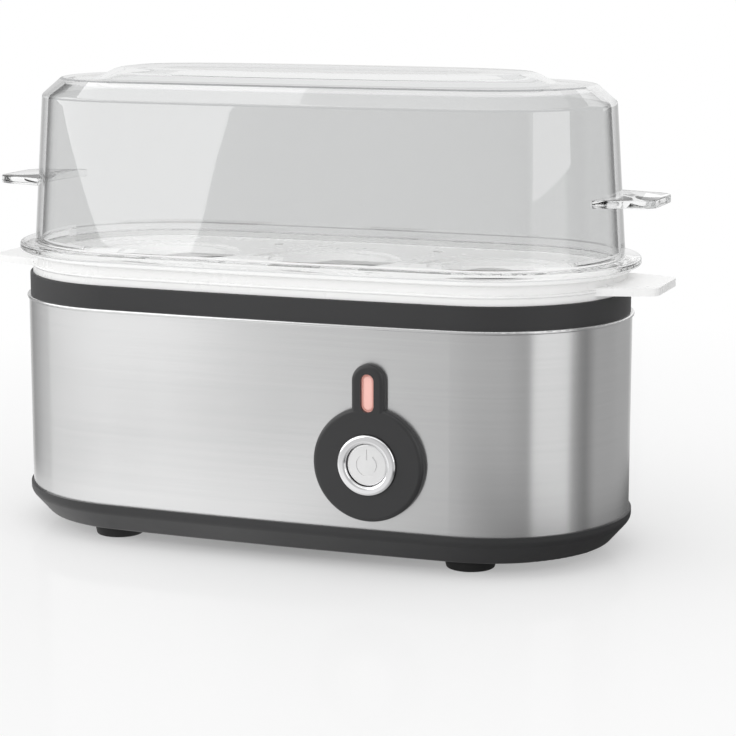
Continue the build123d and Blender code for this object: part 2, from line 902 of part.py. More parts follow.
gland_inner_y = gland_nut_y - gland_nut_height - gland_body_tail


def behind(y):
    """A plane that looks out of the back, centred on the gland."""
    return Plane(origin=(gland_x, y, gland_z), x_dir=(-1, 0, 0), z_dir=(0, 1, 0))


with BuildPart() as cord_gland:
    with BuildSketch(behind(gland_inner_y)):
        Circle(gland_body_radius)
    extrude(amount=bezel_front - gland_inner_y - gland_flange_edge)
    with BuildSketch(behind(rear_y)):
        Circle(gland_flange_radius)
    extrude(amount=bezel_front - rear_y)
    fillet(cord_gland.edges().group_by(Axis.Y)[-1], gland_flange_edge)
    with BuildSketch(behind(gland_inner_y)):
        Circle(gland_bore_radius)
    extrude(amount=bezel_front - gland_inner_y, mode=Mode.SUBTRACT)
save(cord_gland, "cord_gland")

with BuildPart() as gland_nut:
    with BuildSketch(behind(gland_inner_y + gland_body_tail)):
        RegularPolygon(gland_nut_corner, 6)
        Circle(gland_body_radius + heater_gap, mode=Mode.SUBTRACT)
    extrude(amount=gland_nut_height)
save(gland_nut, "gland_nut")

# --- Control panel ---

with BuildPart() as control_panel:
    with BuildSketch(facing(band_front - panel_thickness)):
        keyhole(panel_radius, neck_half_width, neck_top)
    extrude(amount=2 * panel_thickness)
    fillet(control_panel.faces().sort_by(Axis.Y)[0].edges(), panel_edge)
    slab(band_z, collar_z - band_z, -heater_gap, mode=Mode.SUBTRACT)
    # Pillars that pass through the band and take the carrier's screws
    with BuildSketch(facing(carrier_front)):
        with PolarLocations(pillar_reach, 3, 90):
            Circle(pillar_radius)
    extrude(amount=band_front - carrier_front + panel_thickness / 2)
    with BuildSketch(facing(carrier_front)):
        with PolarLocations(pillar_reach, 3, 90):
            Circle(small_screw_radius)
    extrude(amount=small_screw_length - carrier_thickness, mode=Mode.SUBTRACT)
    # Stepped hole for the bezel
    with BuildSketch(facing(carrier_front)):
        Circle(bezel_spigot_radius + screw_gap)
    extrude(amount=panel_front - carrier_front, mode=Mode.SUBTRACT)
    with BuildSketch(facing(panel_front - bezel_seat_depth)):
        Circle(bezel_radius + screw_gap)
    extrude(amount=bezel_seat_depth, mode=Mode.SUBTRACT)
    # Stepped slot for the lamp's lens
    with BuildSketch(facing(carrier_front)):
        with Locations((0, lamp_above_button)):
            SlotOverall(lamp_height + 2 * screw_gap, lamp_width + 2 * screw_gap, rotation=90)
    extrude(amount=panel_front - carrier_front, mode=Mode.SUBTRACT)
    with BuildSketch(facing(band_front)):
        with Locations((0, lamp_above_button)):
            SlotOverall(
                lamp_height + 2 * (lamp_flange_rim + screw_gap),
                lamp_width + 2 * (lamp_flange_rim + screw_gap),
                rotation=90,
            )
    extrude(amount=lens_seat - band_front + lamp_flange_depth + screw_gap, mode=Mode.SUBTRACT)
save(control_panel, "control_panel")

with BuildPart() as lamp_lens:
    with BuildSketch(facing(band_front - lamp_pipe_length)):
        with Locations((0, lamp_above_button)):
            SlotOverall(lamp_height, lamp_width, rotation=90)
    extrude(amount=panel_front - lamp_recess - band_front + lamp_pipe_length)
    fillet(lamp_lens.faces().sort_by(Axis.Y)[0].edges(), lamp_width / 4)
    with BuildSketch(facing(lens_seat)):
        with Locations((0, lamp_above_button)):
            SlotOverall(lamp_height + 2 * lamp_flange_rim, lamp_width + 2 * lamp_flange_rim, rotation=90)
    extrude(amount=lamp_flange_depth)
save(lamp_lens, "lamp_lens")

neon_depth = carrier_front - carrier_thickness / 2
neon_straight = neon_height - 2 * neon_radius

with BuildPart() as neon_lamp:
    with BuildSketch(Plane.XY.offset(lamp_z - neon_straight / 2)):
        with Locations((panel_x, -neon_depth)):
            Circle(neon_radius)
    extrude(amount=neon_straight)
    with Locations(
        (panel_x, -neon_depth, lamp_z - neon_straight / 2),
        (panel_x, -neon_depth, lamp_z + neon_straight / 2),
    ):
        Sphere(neon_radius)
save(neon_lamp, "neon_lamp")

# --- Push button ---

with BuildPart() as button_bezel:
    with BuildSketch(facing(panel_front - bezel_seat_depth)):
        Circle(bezel_radius)
    extrude(amount=bezel_seat_depth + bezel_proud)
    with BuildSketch(facing(bezel_back)):
        Circle(bezel_spigot_radius)
    extrude(amount=panel_front - bezel_seat_depth - bezel_back)
    with BuildSketch(facing(bezel_back)):
        Circle(bezel_bore_radius)
    extrude(amount=bezel_front - bezel_back, mode=Mode.SUBTRACT)
    fillet(button_bezel.faces().sort_by(Axis.Y)[0].edges(), bezel_edge)
save(button_bezel, "button_bezel")

button_radius = bezel_bore_radius - slide_gap

with BuildPart() as push_button:
    with BuildSketch(facing(button_flange_front - button_flange_height)):
        Circle(button_radius)
    extrude(amount=button_face - button_flange_front + button_flange_height)
    fillet(push_button.faces().sort_by(Axis.Y)[0].edges(), button_edge)
    with BuildSketch(facing(button_flange_front)):
        Circle(button_flange_radius)
    extrude(amount=-button_flange_height)
    with BuildSketch(facing(button_flange_front - button_flange_height)):
        Circle(button_radius - button_wall)
    extrude(amount=button_pocket - button_flange_front + button_flange_height, mode=Mode.SUBTRACT)
    with BuildSketch(facing(button_pocket)):
        Circle(button_stem_radius)
    extrude(amount=switch_front + plunger_entry - button_pocket)
    with BuildSketch(facing(switch_front + plunger_entry)):
        Circle(button_socket_radius)
    extrude(amount=plunger_bite, mode=Mode.SUBTRACT)
    # Plain on-off mark in the face: an open ring with a bar in its gap
    with BuildSketch(facing(button_face)):
        Circle(mark_radius + mark_width / 2)
        Circle(mark_radius - mark_width / 2, mode=Mode.SUBTRACT)
        with BuildLine():
            gap_half = radians(mark_gap_angle / 2)
            gap_x = 2 * mark_radius * sin(gap_half)
            gap_y = 2 * mark_radius * cos(gap_half)
            Polyline((0, 0), (-gap_x, gap_y), (gap_x, gap_y), close=True)
        make_face(mode=Mode.SUBTRACT)
        with Locations((0, mark_radius)):
            Rectangle(mark_width, mark_radius)
    extrude(amount=-mark_depth, mode=Mode.SUBTRACT)
save(push_button, "push_button")

with BuildPart() as switch_plunger:
    with BuildSketch(facing(switch_front - button_travel)):
        Circle(plunger_radius)
    extrude(amount=button_travel + plunger_entry + plunger_bite)
save(switch_plunger, "switch_plunger")

spring_span = button_pocket - switch_floor - 2 * spring_wire_radius

with BuildPart() as button_spring:
    with BuildLine() as coil:
        Helix(
            pitch=spring_span / spring_turns,
            height=spring_span,
            radius=spring_radius,
            center=(panel_x, -switch_floor - spring_wire_radius, button_z),
            direction=(0, -1, 0),
        )
    with BuildSketch(Plane(origin=coil.edge() @ 0, z_dir=coil.edge() % 0)):
        Circle(spring_wire_radius)
    sweep(path=coil.edge(), is_frenet=True)
save(button_spring, "button_spring")

# --- Switch and its carrier ---

with BuildPart() as switch_carrier:
    with BuildSketch(facing(carrier_back)):
        keyhole(carrier_radius, carrier_neck_half_width, neck_top - screw_gap)
        Circle(cup_radius - cup_wall, mode=Mode.SUBTRACT)
    extrude(amount=carrier_thickness)
    with BuildSketch(facing(switch_front)):
        Circle(cup_radius)
        Circle(cup_radius - cup_wall, mode=Mode.SUBTRACT)
    extrude(amount=cup_depth)
    with BuildSketch(facing(switch_front)):
        Circle(cup_radius)
        Circle(plunger_radius + fit_gap, mode=Mode.SUBTRACT)
    extrude(amount=cup_floor)
    # Seat for the lamp and holes for the screws
    with BuildSketch(facing(carrier_back)):
        with Locations((0, lamp_above_button)):
            SlotOverall(neon_height + 2 * fit_gap, 2 * (neon_radius + fit_gap), rotation=90)
        with PolarLocations(pillar_reach, 3, 90):
            Circle(small_screw_radius + screw_gap)
    extrude(amount=carrier_thickness, mode=Mode.SUBTRACT)
    # Arms with hooks that hold the switch
    arm_z = switch_size / 2 + screw_gap + arm_thickness / 2
    with BuildSketch(facing(switch_front)):
        with Locations((0, -arm_z), (0, arm_z)):
            Rectangle(arm_width, arm_thickness)
    extrude(amount=-(switch_depth + screw_gap + arm_hook))
    with BuildSketch(facing(switch_back - screw_gap)):
        hook_z = arm_z - arm_hook / 2
        with Locations((0, -hook_z), (0, hook_z)):
            Rectangle(arm_width, arm_thickness + arm_hook)
    extrude(amount=-arm_hook)
save(switch_carrier, "switch_carrier")

with BuildPart() as carrier_screws:
    with BuildSketch(facing(carrier_back)):
        with PolarLocations(pillar_reach, 3, 90):
            Circle(small_screw_radius)
    extrude(amount=small_screw_length)
    with BuildSketch(facing(carrier_back)):
        with PolarLocations(pillar_reach, 3, 90):
            Circle(small_head_radius)
    extrude(amount=-small_head_height)
save(carrier_screws, "carrier_screws")

with BuildPart() as switch_body:
    with BuildSketch(facing(switch_back)):
        Rectangle(switch_size, switch_size)
    extrude(amount=switch_depth)
    with BuildSketch(facing(switch_front)):
        Circle(plunger_radius + screw_gap)
    extrude(amount=-(2 * button_travel + screw_gap), mode=Mode.SUBTRACT)
save(switch_body, "switch_body")

with BuildPart() as switch_tabs:
    with BuildSketch(facing(switch_back)):
        with Locations((-switch_tab_x, 0), (switch_tab_x, 0)):
            Rectangle(tab_sheet, tab_width)
    extrude(amount=-switch_tab_length)
save(switch_tabs, "switch_tabs")

# --- Wires ---

block_face_y = block_y - block_width / 2 + block_tunnel
switch_tab_left = panel_x - switch_tab_x
switch_tab_right = panel_x + switch_tab_x


def wire(name, *points):
    """An insulated wire, laid along its route."""
    with BuildPart() as lead:
        tube(points, wire_radius)
    save(lead, name)


wire(
    "wire_live",
    (pole_xs[2], block_face_y, pole_z),
    (pole_xs[2], 8, pole_z),
    (-8, -2, 12.5),
    (14, -2, 18),
    (22, 3, 27),
    (switch_tab_left, 2, button_z),
    (switch_tab_left, -switch_tab_end, button_z),
)
wire(
    "wire_switched",
    (switch_tab_right, -switch_tab_end, button_z),
    (switch_tab_right, 2, button_z),
    (30, 12, 31),
    (14, 11, 28),
    (thermostat_tab_x, 0, 33),
    (thermostat_tab_x, 0, thermostat_tab_z),
)
wire(
    "wire_heater",
    (-thermostat_tab_x, 0, thermostat_tab_z),
    (-thermostat_tab_x, 0, 34),
    (-14, -6, 26),
    (-34, -13, 21),
    (-50, -16, 20),
    (element_left_x, -element_y, 24),
    (element_left_x, -element_y, pin_z),
)
wire(
    "wire_neutral",
    (pole_xs[1], block_face_y, pole_z),
    (pole_xs[1], 8, pole_z),
    (-40, -1, 19),
    (-52, -2, 30),
    (fuse_x - lead_tip, 0, 40),
    (fuse_x - lead_tip, 0, fuse_z - fuse_lead_drop),
)
wire(
    "wire_fuse",
    (fuse_x + lead_tip, 0, fuse_z - fuse_lead_drop),
    (fuse_x + lead_tip, 0, 41),
    (-38, 5, 30),
    (-49, 13, 22),
    (element_left_x, element_y, 25),
    (element_left_x, element_y, pin_z),
)
wire(
    "wire_earth",
    (pole_xs[0], block_face_y, pole_z),
    (pole_xs[0], 8, pole_z),
    (-52, 5, 12.5),
    (-66, 14, 18),
    (-66, 26, 34),
    (earth_x, earth_y - earth_sheet / 2, 46),
    (earth_x, earth_y - earth_sheet / 2, pan_flange_z - earth_drop),
)

with BuildPart() as lamp_leads:
    lead_start = -(neon_depth - neon_radius)
    lead_turn = lead_start - neon_radius + lamp_lead_reach
    lead_z = lamp_z - lamp_lead_drop
    tab_middle = -(switch_back + switch_tab_end) / 2
    for side in (-1, 1):
        lead_x = panel_x + side * (neon_radius - lamp_wire_radius) / 2
        tab_x = panel_x + side * switch_tab_x
        tube(
            [
                (lead_x, lead_start, lead_z),
                (lead_x, lead_turn, lead_z),
                (tab_x, tab_middle, lead_z - lamp_lead_fall),
                (tab_x, tab_middle, button_z + tab_width / 2),
            ],
            lamp_wire_radius,
        )
save(lamp_leads, "lamp_leads")

# --- Egg tray ---


def end_tabs(top_z, thickness, root_half, end_half, tip_x):
    """Adds a flat lifting tab with rounded corners at each end of the open part."""
    root_x = body_length / 2 - tab_root
    with BuildSketch(Plane.XY.offset(top_z - thickness)) as tabs:
        with BuildLine() as outline:
            Polyline(
                (root_x, -root_half),
                (tip_x, -end_half),
                (tip_x, end_half),
                (root_x, root_half),
                close=True,
            )
        make_face(outline.edges())
        fillet(tabs.vertices().group_by(Axis.X)[-1], tab_corner)
        mirror(about=Plane.YZ)
    extrude(tabs.sketch, amount=thickness)


tray_rim_z = lid_z - tray_rim_height
tray_bead_z = tray_z + tray_foot_height
tray_waist_z = tray_bead_z + tray_bead_height
tray_deck_z = lid_z - tray_recess_depth
tray_under_z = tray_deck_z - tray_wall

with BuildPart() as egg_tray:
    slab(tray_z, tray_foot_height, tray_foot_inset)
    slab(tray_bead_z, tray_bead_height, tray_bead_inset)
    slab(tray_waist_z, tray_rim_z - tray_waist_z, tray_waist_inset)
    slab(tray_rim_z, tray_rim_height, tray_rim_inset)
    for level, inset in (
        (tray_bead_z, tray_bead_inset),
        (tray_waist_z, tray_bead_inset),
        (tray_rim_z, tray_rim_inset),
        (lid_z, tray_rim_inset),
    ):
        fillet(rim(egg_tray, level, inset), tray_edge)
    end_tabs(
        tray_z + tray_tab_top,
        tray_tab_thickness,
        tray_tab_root_half,
        tray_tab_end_half,
        tab_tip_x,
    )
    # Hollow below the deck, and the recess that takes the lid
    slab(tray_z, tray_under_z - tray_z, tray_foot_inset + tray_wall, mode=Mode.SUBTRACT)
    slab(tray_deck_z, tray_recess_depth, tray_recess_inset, mode=Mode.SUBTRACT)
    ring(tray_under_z - tray_rib_height, tray_rib_height, tray_rib_inset, tray_rib_inset + tray_rib_wall)
    # Seats: a shallow step, then a cup with an open throat
    with BuildSketch(Plane.XY.offset(tray_deck_z)):
        with GridLocations(seat_pitch, 0, 3, 1):
            Circle(seat_step_radius)
    extrude(amount=-seat_step_depth, mode=Mode.SUBTRACT)
    for seat_x in (-seat_pitch, 0, seat_pitch):
        with Locations((seat_x, 0, tray_under_z)):
            Cone(
                seat_throat_radius + tray_wall,
                seat_mouth_radius + tray_wall,
                seat_depth,
                align=(Align.CENTER, Align.CENTER, Align.MAX),
            )
        with Locations((seat_x, 0, tray_deck_z)):
            Cone(
                seat_throat_radius,
                seat_mouth_radius,
                seat_depth,
                align=(Align.CENTER, Align.CENTER, Align.MAX),
                mode=Mode.SUBTRACT,
            )
            Cylinder(
                seat_throat_radius,
                tray_wall + 2 * seat_depth,
                align=(Align.CENTER, Align.CENTER, Align.MAX),
                mode=Mode.SUBTRACT,
            )
    with BuildSketch(Plane.XY.offset(tray_deck_z)):
        for side in (-1, 1):
            for seat_x in (-seat_pitch / 2, seat_pitch / 2):
                with Locations((seat_x, side * steam_hole_reach)):
                    Circle(steam_hole_radius)
    extrude(amount=-tray_wall, mode=Mode.SUBTRACT)
save(egg_tray, "egg_tray")

# --- Lid ---

shoulder_z = lid_z + lid_shoulder_height
roof_z = shoulder_z + lid_chamfer_height
wall_z = lid_z + lid_flange_height
chamfer_lean = (lid_roof_inset - lid_shoulder_inset) / (roof_z - shoulder_z)
chamfer_slant = sqrt(1 + chamfer_lean**2)
hollow_shoulder_z = shoulder_z - lid_wall * (chamfer_slant - 1) / chamfer_lean


def plateau(level, shrink, mode=Mode.ADD):
    """Adds or cuts the raised panel on the lid's roof, made smaller on all sides by shrink."""
    with BuildSketch(Plane.XY.offset(level)) as low:
        RectangleRounded(
            plateau_foot_length - 2 * shrink,
            plateau_foot_depth - 2 * shrink,
            plateau_corner - shrink,
        )
    with BuildSketch(Plane.XY.offset(level + plateau_height)) as high:
        RectangleRounded(
            plateau_top_length - 2 * shrink,
            plateau_top_depth - 2 * shrink,
            plateau_corner - shrink,
        )
    loft([low.sketch, high.sketch], ruled=True, mode=mode)


with BuildPart() as lid:
    tapered(wall_z, shoulder_z - wall_z, lid_foot_inset, lid_shoulder_inset)
    tapered(shoulder_z, roof_z - shoulder_z, lid_shoulder_inset, lid_roof_inset)
    fillet(rim(lid, shoulder_z, lid_shoulder_inset), lid_shoulder_radius)
    plateau(roof_z, 0)
    fillet(lid.edges().group_by(Axis.Z)[-1], lid_shoulder_radius)
    slab(lid_z, lid_flange_height, -lid_flange_proud)
    fillet(rim(lid, lid_z, -lid_flange_proud) + rim(lid, wall_z, -lid_flange_proud), lid_flange_edge)
    slab(lid_z - lid_spigot, lid_spigot, tray_recess_inset + fit_gap)
    end_tabs(lid_z + lid_tab_top, lid_tab_thickness, lid_tab_root_half, lid_tab_end_half, lid_tab_tip_x)
    # The hollow follows the outside at the wall's thickness
    slab(lid_z - lid_spigot, lid_spigot + lid_flange_height, lid_foot_inset + lid_wall, mode=Mode.SUBTRACT)
    tapered(
        wall_z,
        hollow_shoulder_z - wall_z,
        lid_foot_inset + lid_wall,
        lid_shoulder_inset + lid_wall,
        mode=Mode.SUBTRACT,
    )
    tapered(
        hollow_shoulder_z,
        roof_z - lid_wall - hollow_shoulder_z,
        lid_shoulder_inset + lid_wall,
        lid_roof_inset + lid_wall * (chamfer_slant - chamfer_lean),
        mode=Mode.SUBTRACT,
    )
    plateau(roof_z - lid_wall, plateau_shrink, mode=Mode.SUBTRACT)
save(lid, "lid")
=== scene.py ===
import json
import math

import bmesh
import bpy
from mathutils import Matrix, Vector


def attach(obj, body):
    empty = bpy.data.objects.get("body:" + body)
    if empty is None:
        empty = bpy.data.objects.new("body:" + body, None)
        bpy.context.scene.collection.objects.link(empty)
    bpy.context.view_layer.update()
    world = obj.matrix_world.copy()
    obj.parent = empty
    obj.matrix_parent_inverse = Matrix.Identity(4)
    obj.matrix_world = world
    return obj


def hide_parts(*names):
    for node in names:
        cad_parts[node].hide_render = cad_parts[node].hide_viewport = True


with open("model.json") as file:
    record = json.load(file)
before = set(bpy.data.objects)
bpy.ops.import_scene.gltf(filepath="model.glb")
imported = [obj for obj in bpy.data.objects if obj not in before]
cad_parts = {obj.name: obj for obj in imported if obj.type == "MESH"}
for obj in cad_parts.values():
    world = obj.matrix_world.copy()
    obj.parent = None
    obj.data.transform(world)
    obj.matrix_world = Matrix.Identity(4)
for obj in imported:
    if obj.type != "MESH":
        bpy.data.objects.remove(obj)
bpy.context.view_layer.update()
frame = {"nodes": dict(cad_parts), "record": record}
bpy.ops.object.select_all(action="DESELECT")
print("frame loaded,", len(frame["nodes"]), "nodes")

scene = bpy.context.scene
scene.view_settings.view_transform = "Standard"


# Camera
cameraView = {
    "place": (0.2758, -0.6892, 0.1885), "tilt": 79.64, "turn": 20.71,
    "lens": 114.8, "sensor": 36, "near": 0.01,
}

bpy.ops.object.camera_add(
    location=cameraView["place"],
    rotation=(math.radians(cameraView["tilt"]), 0, math.radians(cameraView["turn"])),
)
camera = bpy.context.object
camera.name = "viewCamera"
camera.data.lens = cameraView["lens"]
camera.data.sensor_width = cameraView["sensor"]
camera.data.clip_start = cameraView["near"]
scene.camera = camera


# The span that noise values keep to for the most part
noiseSpan = (0.3, 0.7)


# Shared effects, each a node group with values for inputs
def startGroup(name, inputs, outputs):
    group = bpy.data.node_groups.new(name, "ShaderNodeTree")
    for label, kind, value in inputs:
        socket = group.interface.new_socket(label, in_out="INPUT", socket_type=kind)
        if value is not None:
            socket.default_value = value
    for label in outputs:
        group.interface.new_socket(label, in_out="OUTPUT", socket_type="NodeSocketFloat")
    return group, group.nodes.new("NodeGroupInput"), group.nodes.new("NodeGroupOutput")


def addNoise(tree, vector, scale, detail, roughness=0.55):
    noise = tree.nodes.new("ShaderNodeTexNoise")
    noise.inputs["Detail"].default_value = detail
    noise.inputs["Roughness"].default_value = roughness
    tree.links.new(vector, noise.inputs["Vector"])
    if isinstance(scale, (int, float)):
        noise.inputs["Scale"].default_value = scale
    else:
        tree.links.new(scale, noise.inputs["Scale"])
    return noise.outputs["Fac"]


def addStretch(tree, vector, stretch):
    mapping = tree.nodes.new("ShaderNodeMapping")
    mapping.inputs["Scale"].default_value = stretch
    tree.links.new(vector, mapping.inputs["Vector"])
    return mapping.outputs["Vector"]


def addRange(tree, value, low, high, fromLow=noiseSpan[0], fromHigh=noiseSpan[1]):
    mapRange = tree.nodes.new("ShaderNodeMapRange")
    mapRange.inputs["From Min"].default_value = fromLow
    mapRange.inputs["From Max"].default_value = fromHigh
    mapRange.inputs["To Min"].default_value = low
    mapRange.inputs["To Max"].default_value = high
    tree.links.new(value, mapRange.inputs["Value"])
    return mapRange.outputs["Result"]


def addMath(tree, operation, first, second):
    node = tree.nodes.new("ShaderNodeMath")
    node.operation = operation
    for socket, value in zip(node.inputs, (first, second)):
        if isinstance(value, (int, float)):
            socket.default_value = value
        else:
            tree.links.new(value, socket)
    return node.outputs[0]


# The sum of two values, each by its share
def addBlend(tree, first, firstShare, second, secondShare):
    firstPart = addMath(tree, "MULTIPLY", first, firstShare)
    secondPart = addMath(tree, "MULTIPLY", second, secondShare)
    return addMath(tree, "ADD", firstPart, secondPart)


# Long hair lines that run level round the object, with a slow drift in tone
lineSizes = {
    "fine": (14, 14, 5200), "broad": (9, 9, 900), "drift": (12, 12, 30),
    "fineShare": 0.6, "broadShare": 0.4,
}


def makeBrushedLines():
    group, given, made = startGroup(
        "brushedLines", [("Vector", "NodeSocketVector", None)], ("Lines", "Drift")
    )
    fine = addNoise(group, addStretch(group, given.outputs["Vector"], lineSizes["fine"]), 1.0, 3)
    broad = addNoise(group, addStretch(group, given.outputs["Vector"], lineSizes["broad"]), 1.0, 4)
    lines = addBlend(group, fine, lineSizes["fineShare"], broad, lineSizes["broadShare"])
    drift = addNoise(group, addStretch(group, given.outputs["Vector"], lineSizes["drift"]), 1.0, 2)
    group.links.new(lines, made.inputs["Lines"])
    group.links.new(drift, made.inputs["Drift"])
    return group


# The fine pebbled skin of a moulding, and slow cloudiness under it
cloudScale = 26.0


def makeMouldedGrain():
    group, given, made = startGroup(
        "mouldedGrain",
        [("Vector", "NodeSocketVector", None), ("Scale", "NodeSocketFloat", 1800.0)],
        ("Grain", "Cloud"),
    )
    pebbles = group.nodes.new("ShaderNodeTexVoronoi")
    group.links.new(given.outputs["Vector"], pebbles.inputs["Vector"])
    group.links.new(given.outputs["Scale"], pebbles.inputs["Scale"])
    dirt = addNoise(group, given.outputs["Vector"], given.outputs["Scale"], 3)
    grain = addMath(group, "ADD", pebbles.outputs["Distance"], dirt)
    group.links.new(addMath(group, "MULTIPLY", grain, 0.5), made.inputs["Grain"])
    group.links.new(addNoise(group, given.outputs["Vector"], cloudScale, 3), made.inputs["Cloud"])
    return group


# Faint wiping marks left by cleaning
wipeSizes = {
    "swept": (22, 22, 9), "sweptRough": 0.62, "specks": 420.0, "sweptShare": 0.8, "speckShare": 0.2,
}


def makeWipeMarks():
    group, given, made = startGroup("wipeMarks", [("Vector", "NodeSocketVector", None)], ("Marks",))
    swept = addStretch(group, given.outputs["Vector"], wipeSizes["swept"])
    swept = addNoise(group, swept, 1.0, 5, wipeSizes["sweptRough"])
    specks = addNoise(group, given.outputs["Vector"], wipeSizes["specks"], 2)
    marks = addBlend(group, swept, wipeSizes["sweptShare"], specks, wipeSizes["speckShare"])
    group.links.new(marks, made.inputs["Marks"])
    return group


brushedLines = makeBrushedLines()
mouldedGrain = makeMouldedGrain()
wipeMarks = makeWipeMarks()
print("shared effects ready")


# Materials
def startMaterial(name):
    material = bpy.data.materials.new(name)
    material.use_nodes = True
    tree = material.node_tree
    shader = tree.nodes["Principled BSDF"]
    coordinates = tree.nodes.new("ShaderNodeTexCoord")
    return material, tree, shader, coordinates.outputs["Object"]


def addGroup(tree, group, vector, **values):
    node = tree.nodes.new("ShaderNodeGroup")
    node.node_tree = group
    tree.links.new(vector, node.inputs["Vector"])
    for label, value in values.items():
        node.inputs[label].default_value = value
    return node.outputs


def addTones(tree, value, dark, light):
    ramp = tree.nodes.new("ShaderNodeValToRGB")
    for element, place, colour in zip(ramp.color_ramp.elements, noiseSpan, (dark, light)):
        element.position = place
        element.color = (*colour, 1)
    tree.links.new(value, ramp.inputs["Fac"])
    return ramp.outputs["Color"]


def addBump(tree, shader, height, strength, distance):
    bump = tree.nodes.new("ShaderNodeBump")
    bump.inputs["Strength"].default_value = strength
    bump.inputs["Distance"].default_value = distance
    tree.links.new(height, bump.inputs["Height"])
    tree.links.new(bump.outputs["Normal"], shader.inputs["Normal"])


def shade(colour, amount):
    return tuple(min(1, channel * amount) for channel in colour)


# How deep the bumps of each kind of material are, in metres
bumpDepths = {"plastic": 0.0001, "metal": 0.00005, "brushed": 0.00003}
glowDepth = 0.002
# What a moulded plastic has where its finish says nothing else
plasticBase = {"spread": 0.05, "specular": 0.5, "glow": 0}


def mouldedPlastic(name, look):
    look = {**plasticBase, **look}
    material, tree, shader, vector = startMaterial(name)
    grain = addGroup(tree, mouldedGrain, vector, Scale=look["grain"])
    marks = addGroup(tree, wipeMarks, vector)
    dark = shade(look["colour"], 1 - look["spread"])
    light = shade(look["colour"], 1 + look["spread"])
    tree.links.new(addTones(tree, grain["Cloud"], dark, light), shader.inputs["Base Color"])
    tree.links.new(addRange(tree, marks["Marks"], *look["rough"]), shader.inputs["Roughness"])
    shader.inputs["Specular IOR Level"].default_value = look["specular"]
    shader.inputs["Subsurface Weight"].default_value = look["glow"]
    shader.inputs["Subsurface Scale"].default_value = glowDepth
    addBump(tree, shader, grain["Grain"], look["bump"], bumpDepths["plastic"])
    return material


metalDark = 0.9


def plainMetal(name, look):
    material, tree, shader, vector = startMaterial(name)
    marks = addGroup(tree, wipeMarks, vector)
    grain = addGroup(tree, mouldedGrain, vector, Scale=look["grain"])
    tones = addTones(tree, grain["Cloud"], shade(look["colour"], metalDark), look["colour"])
    tree.links.new(tones, shader.inputs["Base Color"])
    shader.inputs["Metallic"].default_value = 1
    tree.links.new(addRange(tree, marks["Marks"], *look["rough"]), shader.inputs["Roughness"])
    addBump(tree, shader, grain["Grain"], look["bump"], bumpDepths["metal"])
    return material


steelLook = {
    "dark": (0.718, 0.72, 0.722),
    "light": (0.76, 0.76, 0.76),
    "rough": (0.18, 0.25),
    "stretch": 0.94,
    "turn": 0.25,
    "bump": 0.16,
}


def brushedSteel(name, look):
    material, tree, shader, vector = startMaterial(name)
    lines = addGroup(tree, brushedLines, vector)
    marks = addGroup(tree, wipeMarks, vector)
    tones = addTones(tree, lines["Lines"], look["dark"], look["light"])
    tree.links.new(tones, shader.inputs["Base Color"])
    shader.inputs["Metallic"].default_value = 1
    shader.inputs["Anisotropic"].default_value = look["stretch"]
    shader.inputs["Anisotropic Rotation"].default_value = look["turn"]
    tangent = tree.nodes.new("ShaderNodeTangent")
    tangent.direction_type = "RADIAL"
    tangent.axis = "Z"
    tree.links.new(tangent.outputs["Tangent"], shader.inputs["Tangent"])
    mixed = addBlend(tree, lines["Drift"], 0.5, marks["Marks"], 0.5)
    tree.links.new(addRange(tree, mixed, *look["rough"]), shader.inputs["Roughness"])
    addBump(tree, shader, lines["Lines"], look["bump"], bumpDepths["brushed"])
    return material


# Clear moulding: a tint on each face, a painted shade of darker tint where it turns away, and a coat
# on the outer walls; the wall, roof and inside copies carry painted shade in their greyer tints, and
# the edge and shoulder copies are painted dark lines
lidLooks = {
    "clear_plastic": {"tint": (0.97, 0.972, 0.972), "index": 1.49, "bump": 0.02},
    "clear_plastic_wall_painted_shade": {
        "tint": (0.772, 0.776, 0.776), "index": 1.02, "rim": 0.56, "coatIndex": 2.1,
    },
    "clear_plastic_roof_painted_shade": {"tint": (0.885, 0.888, 0.888), "index": 1.02},
    "clear_plastic_edge_painted_dark_line": {"tint": (0.3, 0.305, 0.31), "index": 1.02},
    "clear_plastic_shoulder_painted_dark_line": {"tint": (0.7, 0.705, 0.71), "index": 1.02},
    "clear_plastic_inside_painted_shade": {"tint": (0.772, 0.776, 0.776), "index": 1.02, "rim": 0.16},
}
# From where to where on a face's turn away its darker tint of painted shade comes in
rimShadeFacing = (0.5, 0.95)
lidRough = {"smears": (0.0, 0.03), "from": (0.5, 0.8), "coat": 0.02}


